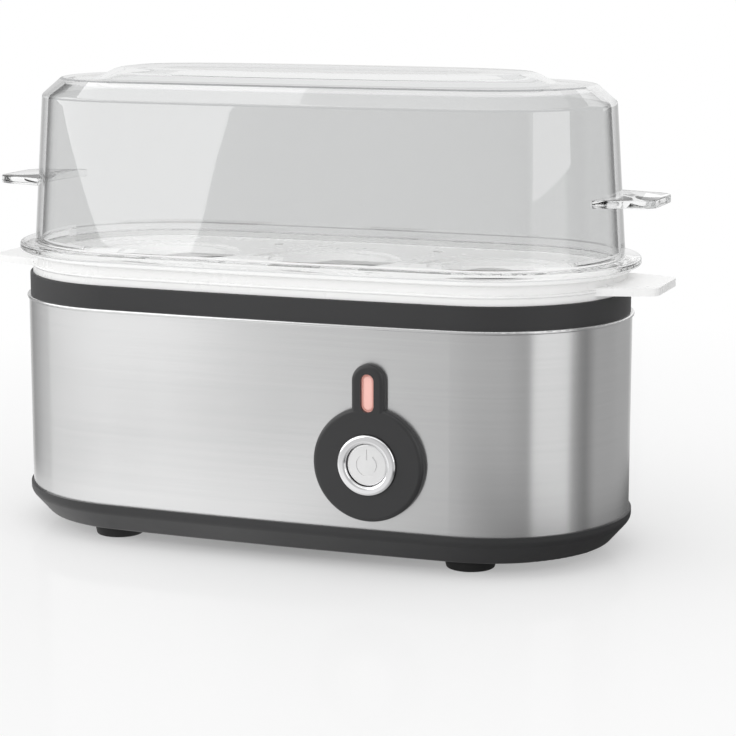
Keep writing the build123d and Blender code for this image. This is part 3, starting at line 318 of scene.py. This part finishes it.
def clearPlastic(name, look):
    material, tree, shader, vector = startMaterial(name)
    marks = addGroup(tree, wipeMarks, vector)
    # Painted shade: the tint darkens where the face turns away from the eye
    if "rim" in look:
        facing = tree.nodes.new("ShaderNodeLayerWeight")
        turned = addRange(tree, facing.outputs["Facing"], 0, 1, *rimShadeFacing)
        tint = addTones(tree, turned, look["tint"], shade(look["tint"], look["rim"]))
        tree.links.new(tint, shader.inputs["Base Color"])
    else:
        shader.inputs["Base Color"].default_value = (*look["tint"], 1)
    shader.inputs["Transmission Weight"].default_value = 1
    shader.inputs["IOR"].default_value = look["index"]
    if "coatIndex" in look:
        side = tree.nodes.new("ShaderNodeNewGeometry")
        coat = addRange(tree, side.outputs["Backfacing"], 1, 0, 0, 1)
        tree.links.new(coat, shader.inputs["Coat Weight"])
        shader.inputs["Coat IOR"].default_value = look["coatIndex"]
        shader.inputs["Coat Roughness"].default_value = lidRough["coat"]
    rough = addRange(tree, marks["Marks"], *lidRough["smears"], *lidRough["from"])
    tree.links.new(rough, shader.inputs["Roughness"])
    addBump(tree, shader, marks["Marks"], look.get("bump", 0), bumpDepths["plastic"])
    rays = tree.nodes.new("ShaderNodeLightPath")
    through = tree.nodes.new("ShaderNodeBsdfTransparent")
    choose = tree.nodes.new("ShaderNodeMixShader")
    plain = addMath(tree, "MAXIMUM", rays.outputs["Is Shadow Ray"], rays.outputs["Is Diffuse Ray"])
    tree.links.new(plain, choose.inputs[0])
    tree.links.new(shader.outputs[0], choose.inputs[1])
    tree.links.new(through.outputs[0], choose.inputs[2])
    tree.links.new(choose.outputs[0], tree.nodes["Material Output"].inputs["Surface"])
    return material


litSurface = {"grain": 900.0, "rough": 0.2, "dark": 0.85, "bump": 0.05}


def litPlastic(name, look):
    material, tree, shader, vector = startMaterial(name)
    grain = addGroup(tree, mouldedGrain, vector, Scale=litSurface["grain"])
    shader.inputs["Roughness"].default_value = litSurface["rough"]
    tones = addTones(tree, grain["Cloud"], shade(look["colour"], litSurface["dark"]), look["colour"])
    tree.links.new(tones, shader.inputs["Base Color"])
    shader.inputs["Emission Color"].default_value = (*look["glow"], 1)
    shader.inputs["Emission Strength"].default_value = look["strength"]
    addBump(tree, shader, grain["Grain"], litSurface["bump"], bumpDepths["plastic"])
    return material


# One row of the finishes: who makes it, and its look
def finish(maker, colour, grain, bump, rough, **more):
    return maker, {"colour": colour, "grain": grain, "bump": bump, "rough": rough, **more}


def wire(colour):
    return finish(mouldedPlastic, colour, 800.0, 0.05, (0.25, 0.35))


finishes = {
    "black_plastic": finish(
        mouldedPlastic, (0.026, 0.026, 0.027), 2600.0, 0.25, (0.42, 0.54), specular=0.45
    ),
    "black_rubber": finish(
        mouldedPlastic, (0.014, 0.014, 0.014), 1400.0, 0.4, (0.6, 0.8), specular=0.3
    ),
    "brushed_steel": (brushedSteel, steelLook),
    "zinc_steel": finish(plainMetal, (0.72, 0.73, 0.75), 500.0, 0.1, (0.22, 0.38)),
    "pan_steel": finish(plainMetal, (0.7, 0.7, 0.69), 900.0, 0.15, (0.28, 0.42)),
    "silicone": finish(mouldedPlastic, (0.42, 0.09, 0.05), 900.0, 0.1, (0.45, 0.6)),
    "heater_aluminium": finish(plainMetal, (0.8, 0.8, 0.81), 1200.0, 0.2, (0.32, 0.46)),
    "element_steel": finish(plainMetal, (0.34, 0.29, 0.25), 700.0, 0.2, (0.4, 0.6)),
    "dark_moulding": finish(mouldedPlastic, (0.022, 0.02, 0.018), 1500.0, 0.15, (0.32, 0.45)),
    "natural_nylon": finish(
        mouldedPlastic, (0.66, 0.62, 0.52), 1500.0, 0.1, (0.35, 0.5), glow=0.1
    ),
    "panel_black": finish(mouldedPlastic, (0.022, 0.022, 0.023), 3000.0, 0.12, (0.3, 0.4)),
    "lamp_lens": (
        litPlastic, {"colour": (0.8, 0.55, 0.5), "glow": (1.0, 0.3, 0.22), "strength": 0.25}
    ),
    "neon_glass": (
        litPlastic, {"colour": (1.0, 0.6, 0.4), "glow": (1.0, 0.35, 0.12), "strength": 2.0}
    ),
    "bezel_chrome": finish(plainMetal, (0.9, 0.9, 0.91), 400.0, 0.02, (0.05, 0.1)),
    "button_satin": finish(plainMetal, (0.95, 0.95, 0.95), 2200.0, 0.12, (0.3, 0.4)),
    "wire_brown": wire((0.16, 0.06, 0.025)),
    "wire_red": wire((0.5, 0.03, 0.025)),
    "wire_blue": wire((0.03, 0.09, 0.46)),
    "wire_green": wire((0.1, 0.36, 0.05)),
    "white_plastic": finish(
        mouldedPlastic, (0.92, 0.92, 0.915), 2200.0, 0.05, (0.22, 0.34), spread=0.01
    ),
}

made = {slot: maker(slot, look) for slot, (maker, look) in finishes.items()}
made.update({slot: clearPlastic(slot, look) for slot, look in lidLooks.items()})
for part in frame["record"]["subparts"]:
    node = frame["nodes"][part["node"]]
    node.data.materials.clear()
    node.data.materials.append(made[part["material_slot"]])
print("materials ready:", len(made))


# The body's plan outline, an oval of two radii, in millimetres
outline = {"length": 200.0, "depth": 91.0, "bow": 1.2, "sideSteps": 28, "endSteps": 44}

endRadius = outline["depth"] / 2 - outline["bow"]
endX = outline["length"] / 2 - endRadius
sideRadius = (endX**2 + (outline["depth"] / 2) ** 2 - endRadius**2) / (2 * outline["bow"])
sideCentre = sideRadius - outline["depth"] / 2
joinAngle = math.asin(endX / (sideRadius - endRadius))
endTurn = math.pi - 2 * joinAngle
# The largest cosine of a turn that still lies on a long side
sideLimit = math.sin(joinAngle) + 1e-9


def outlineTurns():
    turns = []
    for half in (0, math.pi):
        start = half - math.pi / 2 + joinAngle
        for sweep, steps in ((endTurn, outline["endSteps"]), (2 * joinAngle, outline["sideSteps"])):
            turns += [start + sweep * step / steps for step in range(steps)]
            start += sweep
    return turns


turns = outlineTurns()


# A ring of the outline, moved in by inset
def ovalRing(inset, level):
    ring = []
    for turn in turns:
        x, y = math.cos(turn), math.sin(turn)
        if abs(x) <= sideLimit:
            reach, shift = sideRadius - inset, (0, -math.copysign(sideCentre, y))
        else:
            reach, shift = endRadius - inset, (math.copysign(endX, x), 0)
        ring.append(((x * reach + shift[0]) / 1000, (y * reach + shift[1]) / 1000, level / 1000))
    return ring


# A soft-cornered ring for the roof panel, whose points keep the angles of a ring of the outline
panelGuide = 12
guideLength = (outline["length"] / 2 - panelGuide) / 1000
guideDepth = (outline["depth"] / 2 - panelGuide) / 1000


def panelRing(halfLength, halfDepth, level, square):
    ring = []
    for x, y, _ in ovalRing(panelGuide, level):
        angle = math.atan2(y / guideDepth, x / guideLength)
        reach = (abs(math.cos(angle)) ** square + abs(math.sin(angle)) ** square) ** (-1 / square)
        ring.append((
            halfLength * reach * math.cos(angle) / 1000,
            halfDepth * reach * math.sin(angle) / 1000,
            level / 1000,
        ))
    return ring


# Rounds the corners of a profile given as (inset, level, radius)
cornerSteps = 5
cornerReach = 0.49


def softProfile(corners):
    points = []
    for index, (inset, level, radius) in enumerate(corners):
        if radius == 0 or index in (0, len(corners) - 1):
            points.append((inset, level))
            continue
        here = Vector((inset, level))
        back = Vector(corners[index - 1][:2]) - here
        ahead = Vector(corners[index + 1][:2]) - here
        half = back.angle(ahead) / 2
        longest = min(back.length * cornerReach, ahead.length * cornerReach)
        reach = min(radius / math.tan(half), longest)
        start, stop = here + back.normalized() * reach, here + ahead.normalized() * reach
        for step in range(cornerSteps + 1):
            share = step / cornerSteps
            first, second = start.lerp(here, share), here.lerp(stop, share)
            points.append(tuple(first.lerp(second, share)))
    return points


# Skins rings in order, from an n-gon on the first ring to an n-gon on the last
def skinRings(name, rings):
    bpy.ops.object.select_all(action="DESELECT")
    bpy.ops.mesh.primitive_circle_add(vertices=len(rings[0]), radius=0.1, fill_type="NGON")
    piece = bpy.context.object
    piece.name = name
    for vertex, place in zip(piece.data.vertices, rings[0]):
        vertex.co = place
    bpy.ops.object.mode_set(mode="EDIT")
    bpy.ops.mesh.select_all(action="SELECT")
    shape = bmesh.from_edit_mesh(piece.data)
    spot = shape.verts.layers.int.new("spot")
    for index, vertex in enumerate(shape.verts):
        vertex[spot] = index
    for ring in rings[1:]:
        bpy.ops.mesh.extrude_region_move()
        shape = bmesh.from_edit_mesh(piece.data)
        spot = shape.verts.layers.int["spot"]
        for vertex in shape.verts:
            if vertex.select:
                vertex.co = ring[vertex[spot]]
        bmesh.update_edit_mesh(piece.data)
    bpy.ops.object.mode_set(mode="OBJECT")
    return piece


# Joins what meets, turns the faces outwards and smooths all but the sharp edges
smoothAngle = 35


def tidyShell(piece):
    bpy.ops.object.mode_set(mode="EDIT")
    bpy.ops.mesh.select_all(action="SELECT")
    bpy.ops.mesh.remove_doubles(threshold=1e-6)
    bpy.ops.mesh.normals_make_consistent(inside=False)
    bpy.ops.object.mode_set(mode="OBJECT")
    bpy.ops.object.shade_smooth_by_angle(angle=math.radians(smoothAngle))


# Clear lid: one shell from the inside of its roof, round the foot, to the outside of its roof
lidSizes = {
    "wall": 2.0, "foot": 88.4, "seat": 90.0, "flangeTop": 92.4, "shoulder": 139.6, "roof": 145.0,
    "panelTop": 148.4, "panelFoot": (76.0, 30.0), "panelEdge": (66.0, 24.0),
    "panelSteps": 9, "panelShares": (0.8, 0.5, 0.2), "panelInside": 0.5, "square": 3.2,
    # Insets from the outline: the foot, the flange, and each wall at its foot and its shoulder
    "footInset": 3.1, "flangeInset": -2.5, "outerInsets": (2.5, 5.7), "innerInsets": (4.5, 7.7),
    "roofInset": 11.9, "innerRoofInset": 13.3, "lastInset": 14.4, "shoulderDrop": 0.8,
    # How far from a wall's ends its shading starts to be flat
    "flatFrom": 1.6, "outerFlatTo": 2.4, "innerFlatTo": 2.8,
}


# The rings of the raised roof panel, lowered by drop and moved in by grow
def roofRings(drop, grow):
    rings = []
    (footX, footY), (edgeX, edgeY) = lidSizes["panelFoot"], lidSizes["panelEdge"]
    rise = lidSizes["panelTop"] - lidSizes["roof"]
    for step in range(lidSizes["panelSteps"] + 1):
        share = step / lidSizes["panelSteps"]
        # An even rise with a soft start and end
        soft = share * share * (3 - 2 * share)
        rings.append(panelRing(
            footX + (edgeX - footX) * share - grow,
            footY + (edgeY - footY) * share - grow,
            lidSizes["roof"] + rise * soft - drop,
            lidSizes["square"],
        ))
    for share in lidSizes["panelShares"]:
        rings.append(panelRing(
            edgeX * share, edgeY * share, lidSizes["panelTop"] - drop, lidSizes["square"]
        ))
    return rings


# A point on the straight wall, so that its shading stays flat between its rounded ends
def onWall(foot, top, level):
    return (foot[0] + (top[0] - foot[0]) * (level - foot[1]) / (top[1] - foot[1]), level, 0)


outerFoot = (lidSizes["outerInsets"][0], lidSizes["flangeTop"])
outerTop = (lidSizes["outerInsets"][1], lidSizes["shoulder"])
innerFoot = (lidSizes["innerInsets"][0], lidSizes["flangeTop"])
innerTop = (lidSizes["innerInsets"][1], lidSizes["shoulder"] - lidSizes["shoulderDrop"])
underRoof = lidSizes["roof"] - lidSizes["wall"]
outside = softProfile([
    (lidSizes["footInset"], lidSizes["foot"], 0),
    (lidSizes["footInset"], lidSizes["seat"], 0.3),
    (lidSizes["flangeInset"], lidSizes["seat"], 0.8),
    (lidSizes["flangeInset"], lidSizes["flangeTop"], 0.9),
    (*outerFoot, 0.7),
    onWall(outerFoot, outerTop, outerFoot[1] + lidSizes["flatFrom"]),
    onWall(outerFoot, outerTop, outerTop[1] - lidSizes["outerFlatTo"]),
    (*outerTop, 1.8),
    (lidSizes["roofInset"], lidSizes["roof"], 2.0),
    (lidSizes["lastInset"], lidSizes["roof"], 0),
])
inside = softProfile([
    (lidSizes["innerInsets"][0], lidSizes["foot"], 0),
    (*innerFoot, 0.6),
    onWall(innerFoot, innerTop, innerFoot[1] + lidSizes["flatFrom"]),
    onWall(innerFoot, innerTop, innerTop[1] - lidSizes["innerFlatTo"]),
    (*innerTop, 2.2),
    (lidSizes["innerRoofInset"], underRoof, 1.2),
    (lidSizes["lastInset"], underRoof, 0),
])
lidRings = list(reversed(roofRings(lidSizes["wall"], lidSizes["panelInside"])))
lidRings += [ovalRing(inset, level) for inset, level in reversed(inside)]
lidRings += [ovalRing(inset, level) for inset, level in outside]
lidRings += roofRings(0, 0)
lidShell = skinRings("lidShell", lidRings)
tidyShell(lidShell)


# A flat lifting tab whose root follows the wall that it joins
lidTab = {
    "root": 17.0, "end": 11.5, "tip": 110.6, "corner": 4.0, "top": 112.2, "thick": 2.5,
    "wallInset": 3.75, "rootX": 92.0, "rootSteps": 16, "cornerSteps": 8, "edge": 0.4, "edgeSteps": 3,
}


def makeTab(name, side, sizes):
    slope = (sizes["root"] - sizes["end"]) / (sizes["tip"] - sizes["rootX"])
    wallRadius = endRadius - sizes["wallInset"]
    places = []
    for step in range(sizes["rootSteps"] + 1):
        y = -sizes["root"] + 2 * sizes["root"] * step / sizes["rootSteps"]
        places.append((endX + math.sqrt(wallRadius**2 - y * y), y))
    for corner, first in ((1, 90), (-1, 0)):
        for step in range(sizes["cornerSteps"] + 1):
            angle = math.radians(first - 90 * step / sizes["cornerSteps"])
            x = sizes["tip"] - sizes["corner"] + sizes["corner"] * math.cos(angle)
            y = corner * (sizes["end"] - sizes["corner"]) + sizes["corner"] * math.sin(angle)
            y += corner * slope * (sizes["tip"] - x) * abs(math.sin(angle))
            places.append((x, y))
    bpy.ops.object.select_all(action="DESELECT")
    bpy.ops.mesh.primitive_circle_add(vertices=len(places), radius=0.01, fill_type="NGON")
    tab = bpy.context.object
    tab.name = name
    for vertex, (x, y) in zip(tab.data.vertices, places):
        vertex.co = (side * x / 1000, y / 1000, sizes["top"] / 1000)
    bpy.ops.object.mode_set(mode="EDIT")
    bpy.ops.mesh.select_all(action="SELECT")
    bpy.ops.mesh.extrude_region_move(TRANSFORM_OT_translate={"value": (0, 0, -sizes["thick"] / 1000)})
    bpy.ops.object.mode_set(mode="OBJECT")
    bevel = tab.modifiers.new("edge", "BEVEL")
    bevel.width = sizes["edge"] / 1000
    bevel.segments = sizes["edgeSteps"]
    bevel.limit_method = "ANGLE"
    bpy.ops.object.modifier_apply(modifier="edge")
    tidyShell(tab)
    return tab


# Where the shell's materials begin: the front, the back, the roof's edge line and the shoulder line,
# both lines painted dark as painted shade
lidFaces = {
    "frontFrom": -6.0, "behindFrom": 12.0, "roofUnder": 0.4, "wallOver": 1,
    "edgeBand": 14.2, "edgeUnder": 0.5, "edgeSlope": (0.72, 0.995),
    "shoulderLevel": (-1.2, -0.1), "shoulderSlope": (0.1, 0.55),
}


# How far back the roof's outer edge lies at x, less a little
def lidEdgeY(x):
    across = max(abs(x) - endX / 1000, 0)
    reach = (endRadius - lidFaces["edgeBand"]) / 1000
    return -math.sqrt(max(reach**2 - across**2, 0))


def between(value, limits):
    return limits[0] < value < limits[1]


# The material of one face of the shell, by its place and slope; the copies it picks carry painted
# shade and painted dark lines
def faceLook(face):
    x, y, level = face.center.x, face.center.y, face.center.z * 1000
    inFront = y < lidFaces["frontFrom"] / 1000
    aboveShoulder = level - lidSizes["shoulder"]
    if level > lidSizes["roof"] - lidFaces["edgeUnder"] and inFront and y < lidEdgeY(x):
        # The roof's front edge gets a painted dark line
        if between(face.normal.z, lidFaces["edgeSlope"]):
            return "clear_plastic_edge_painted_dark_line"
    # The front shoulder gets a painted dark line
    if inFront and between(aboveShoulder, lidFaces["shoulderLevel"]):
        if between(face.normal.z, lidFaces["shoulderSlope"]):
            return "clear_plastic_shoulder_painted_dark_line"
    if level > underRoof - lidFaces["roofUnder"] or (aboveShoulder > 0 and y > 0):
        return "clear_plastic_roof_painted_shade"
    if level > lidSizes["flangeTop"] + lidFaces["wallOver"]:
        inward = face.normal.x * x + face.normal.y * y < 0
        return "clear_plastic_inside_painted_shade" if inward else "clear_plastic_wall_painted_shade"
    return "clear_plastic_wall_painted_shade" if y > lidFaces["behindFrom"] / 1000 else "clear_plastic"


lidPieces = [lidShell, makeTab("lidTabLeft", -1, lidTab), makeTab("lidTabRight", 1, lidTab)]
for piece in lidPieces:
    piece.data.materials.append(made["clear_plastic"])
lidSlots = list(lidLooks)
for slot in lidSlots[1:]:
    lidShell.data.materials.append(made[slot])
for face in lidShell.data.polygons:
    face.material_index = lidSlots.index(faceLook(face))
for piece in lidPieces:
    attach(piece, "lid")
    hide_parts("lid")
print("lid ready:", len(lidShell.data.polygons), "faces")


# Studio: a pale floor, and a round wall and four lights (left, right, rear and top) for gloss alone
studio = {
    "floor": (0.86, 0.86, 0.86),
    "floorSize": 8,
    "floorDark": 0.995,
    "floorCloud": 3.0,
    "floorRough": 0.06,
    "floorGloss": 0.01,
    "fade": (-0.09, 0.36),
    "fadeStretch": (1, 0.8, 1),
    "wallRadius": 1.9,
    "wallHeights": (-2.0, 2.4),
    "wallSides": 256,
    "skyLevel": 0.93,
    # More light from the front left and from above, less from the right
    "skyLean": (-0.3, -0.42, 0.16),
    # Turn of the wall from 0 to 1, with 0.25 in front, 0.5 at the right and 0.75 behind
    "wallTones": (
        (0.0, 0.76), (0.05, 0.78), (0.165, 0.8), (0.18, 0.78), (0.188, 0.7), (0.205, 0.66),
        (0.215, 0.6), (0.25, 0.56), (0.34, 0.52), (0.39, 0.42), (0.402, 0.8), (0.48, 0.8),
        (0.495, 0.38), (0.53, 0.24), (0.56, 0.44), (0.72, 0.42), (0.76, 0.7), (0.87, 0.7),
        (0.9, 0.34), (0.97, 0.62),
    ),
    "lightRadius": 1.85,
    "lightTop": 1.6,
    "lightSteps": (24, 48),
    "topLight": {"level": 1.9, "low": (-2.4, -1.2), "high": (-0.7, 1.2), "height": 1.9},
    # In gloss the floor shows only near the object, as an emission of painted shade that is darker to
    # the right
    "glossFloor": (0.125, 0.165),
    "glossShade": {"levels": (1.0, 0.12), "from": (-0.02, 0.1)},
}
# Each curved light's left and right edges as (height, turn), from its foot upwards
curvedLights = {
    "leftLight": {
        "level": 1.95,
        "left": (
            (0.07, 0.165), (0.095, 0.135), (0.122, 0.085), (0.148, 0.018), (0.21, -0.02),
            (1.6, -0.03),
        ),
        "right": (
            (0.07, 0.174), (0.108, 0.1761), (0.157, 0.1775), (0.186, 0.1785), (0.229, 0.1803),
            (1.6, 0.1815),
        ),
    },
    "rightLight": {
        "level": 1.45,
        "left": ((0.145, 0.4025), (0.231, 0.4053), (1.6, 0.407)),
        "right": ((0.145, 0.503), (1.6, 0.51)),
    },
    "rearLight": {
        "level": 1.1,
        "left": ((0.15, 0.63), (1.6, 0.63)),
        "right": ((0.15, 0.78), (1.6, 0.78)),
    },
}


# Mixes in a plain white that the eye sees directly or through the lid
def addSeenWhite(tree, shader, output, share=1):
    rays = tree.nodes.new("ShaderNodeLightPath")
    seen = addMath(tree, "MAXIMUM", rays.outputs["Is Camera Ray"], rays.outputs["Is Transmission Ray"])
    kind = "ShaderNodeBackground" if output.name == "World Output" else "ShaderNodeEmission"
    white = tree.nodes.new(kind)
    white.inputs["Color"].default_value = (1, 1, 1, 1)
    choose = tree.nodes.new("ShaderNodeMixShader")
    tree.links.new(addMath(tree, "MULTIPLY", seen, share), choose.inputs[0])
    tree.links.new(shader.outputs[0], choose.inputs[1])
    tree.links.new(white.outputs[0], choose.inputs[2])
    tree.links.new(choose.outputs[0], output.inputs["Surface"])


bpy.ops.mesh.primitive_plane_add(size=studio["floorSize"], location=(0, 0, 0))
floor = bpy.context.object
floor.name = "studioFloor"
floorMaterial, tree, shader, vector = startMaterial("floorPaper")
clouds = addNoise(tree, vector, studio["floorCloud"], 2)
floorTones = addTones(tree, clouds, shade(studio["floor"], studio["floorDark"]), studio["floor"])
tree.links.new(floorTones, shader.inputs["Base Color"])
shader.inputs["Roughness"].default_value = studio["floorRough"]
shader.inputs["Specular IOR Level"].default_value = studio["floorGloss"]
apart = tree.nodes.new("ShaderNodeVectorMath")
apart.operation = "LENGTH"
tree.links.new(addStretch(tree, vector, studio["fadeStretch"]), apart.inputs[0])
fade = addRange(tree, apart.outputs["Value"], 0, 1, *studio["fade"])
rays = tree.nodes.new("ShaderNodeLightPath")
away = addRange(tree, apart.outputs["Value"], 0, 1, *studio["glossFloor"])
clear = tree.nodes.new("ShaderNodeBsdfTransparent")
gone = tree.nodes.new("ShaderNodeMixShader")
# Painted shade: the floor near the object, seen in gloss, is an emission that darkens to the right
near = tree.nodes.new("ShaderNodeEmission")
split = tree.nodes.new("ShaderNodeSeparateXYZ")
tree.links.new(vector, split.inputs[0])
lean = studio["glossShade"]
nearShadeLevel = addRange(tree, split.outputs["X"], *lean["levels"], *lean["from"])
tree.links.new(nearShadeLevel, near.inputs["Strength"])
tree.links.new(away, gone.inputs[0])
tree.links.new(near.outputs[0], gone.inputs[1])
tree.links.new(clear.outputs[0], gone.inputs[2])
paper = tree.nodes.new("ShaderNodeMixShader")
tree.links.new(rays.outputs["Is Glossy Ray"], paper.inputs[0])
tree.links.new(shader.outputs[0], paper.inputs[1])
tree.links.new(gone.outputs[0], paper.inputs[2])
addSeenWhite(tree, paper, tree.nodes["Material Output"], fade)
floor.data.materials.append(floorMaterial)


def onlyGloss(thing):
    thing.visible_camera = False
    thing.visible_shadow = False
    thing.visible_diffuse = False
    thing.visible_transmission = False


low, high = studio["wallHeights"]
bpy.ops.mesh.primitive_cylinder_add(
    vertices=studio["wallSides"], radius=studio["wallRadius"], depth=high - low,
    end_fill_type="NOTHING", location=(0, 0, (low + high) / 2),
)
wall = bpy.context.object
wall.name = "studioWall"
bpy.ops.object.transform_apply(location=True, rotation=True, scale=True)
wallMaterial = bpy.data.materials.new("wallTones")
wallMaterial.use_nodes = True
tree = wallMaterial.node_tree
tree.nodes.remove(tree.nodes["Principled BSDF"])
around = tree.nodes.new("ShaderNodeTexGradient")
around.gradient_type = "RADIAL"
tree.links.new(tree.nodes.new("ShaderNodeTexCoord").outputs["Object"], around.inputs["Vector"])
rampNode = tree.nodes.new("ShaderNodeValToRGB")
tones = rampNode.color_ramp
for index, (turn, tone) in enumerate(studio["wallTones"]):
    element = tones.elements[index] if index < 2 else tones.elements.new(turn)
    element.position = turn
    element.color = (tone, tone, tone, 1)
emission = tree.nodes.new("ShaderNodeEmission")
tree.links.new(around.outputs["Fac"], rampNode.inputs["Fac"])
tree.links.new(rampNode.outputs["Color"], emission.inputs["Color"])
tree.links.new(emission.outputs["Emission"], tree.nodes["Material Output"].inputs["Surface"])
wall.data.materials.append(wallMaterial)
onlyGloss(wall)


# The turn of a light's edge at a height
def edgeAt(points, height):
    for (lowHeight, lowTurn), (highHeight, highTurn) in zip(points, points[1:]):
        if height <= highHeight:
            return lowTurn + (highTurn - lowTurn) * (height - lowHeight) / (highHeight - lowHeight)
    return points[-1][1]


def lightMaterial(name, level):
    material = bpy.data.materials.new(name)
    material.use_nodes = True
    tree = material.node_tree
    tree.nodes.remove(tree.nodes["Principled BSDF"])
    emission = tree.nodes.new("ShaderNodeEmission")
    emission.inputs["Strength"].default_value = level
    tree.links.new(emission.outputs[0], tree.nodes["Material Output"].inputs["Surface"])
    return material


# A soft light curved round the object, between two edges that may lean
def makeLight(name, look):
    across, upward = studio["lightSteps"]
    bpy.ops.mesh.primitive_grid_add(x_subdivisions=across, y_subdivisions=upward, size=1)
    card = bpy.context.object
    card.name = name
    foot, radius = look["left"][0][0], studio["lightRadius"]
    for vertex in card.data.vertices:
        # The grid runs from -0.5 to 0.5, and its rows are drawn together low down
        climb = (vertex.co.y + 0.5) ** 2
        height = foot + (studio["lightTop"] - foot) * climb
        left, right = edgeAt(look["left"], height), edgeAt(look["right"], height)
        angle = math.tau * (left + (right - left) * (vertex.co.x + 0.5) + 0.5)
        vertex.co = (radius * math.cos(angle), radius * math.sin(angle), height)
    card.data.materials.append(lightMaterial(name, look["level"]))
    onlyGloss(card)


for name, look in curvedLights.items():
    makeLight(name, look)

overhead = studio["topLight"]
bpy.ops.mesh.primitive_plane_add(size=1)
card = bpy.context.object
card.name = "topLight"
for vertex in card.data.vertices:
    vertex.co = (
        overhead["low"][0] + (overhead["high"][0] - overhead["low"][0]) * (vertex.co.x + 0.5),
        overhead["low"][1] + (overhead["high"][1] - overhead["low"][1]) * (vertex.co.y + 0.5),
        overhead["height"],
    )
card.data.materials.append(lightMaterial("topLight", overhead["level"]))
onlyGloss(card)

world = bpy.data.worlds.new("studioSky")
scene.world = world
world.use_nodes = True
sky = world.node_tree.nodes["Background"]
sky.inputs["Color"].default_value = (1, 1, 1, 1)
lean = world.node_tree.nodes.new("ShaderNodeVectorMath")
lean.operation = "DOT_PRODUCT"
lean.inputs[1].default_value = studio["skyLean"]
aim = world.node_tree.nodes.new("ShaderNodeTexCoord")
world.node_tree.links.new(aim.outputs["Generated"], lean.inputs[0])
strength = addMath(world.node_tree, "ADD", lean.outputs["Value"], studio["skyLevel"])
world.node_tree.links.new(strength, sky.inputs["Strength"])
addSeenWhite(world.node_tree, sky, world.node_tree.nodes["World Output"])
print("studio ready")
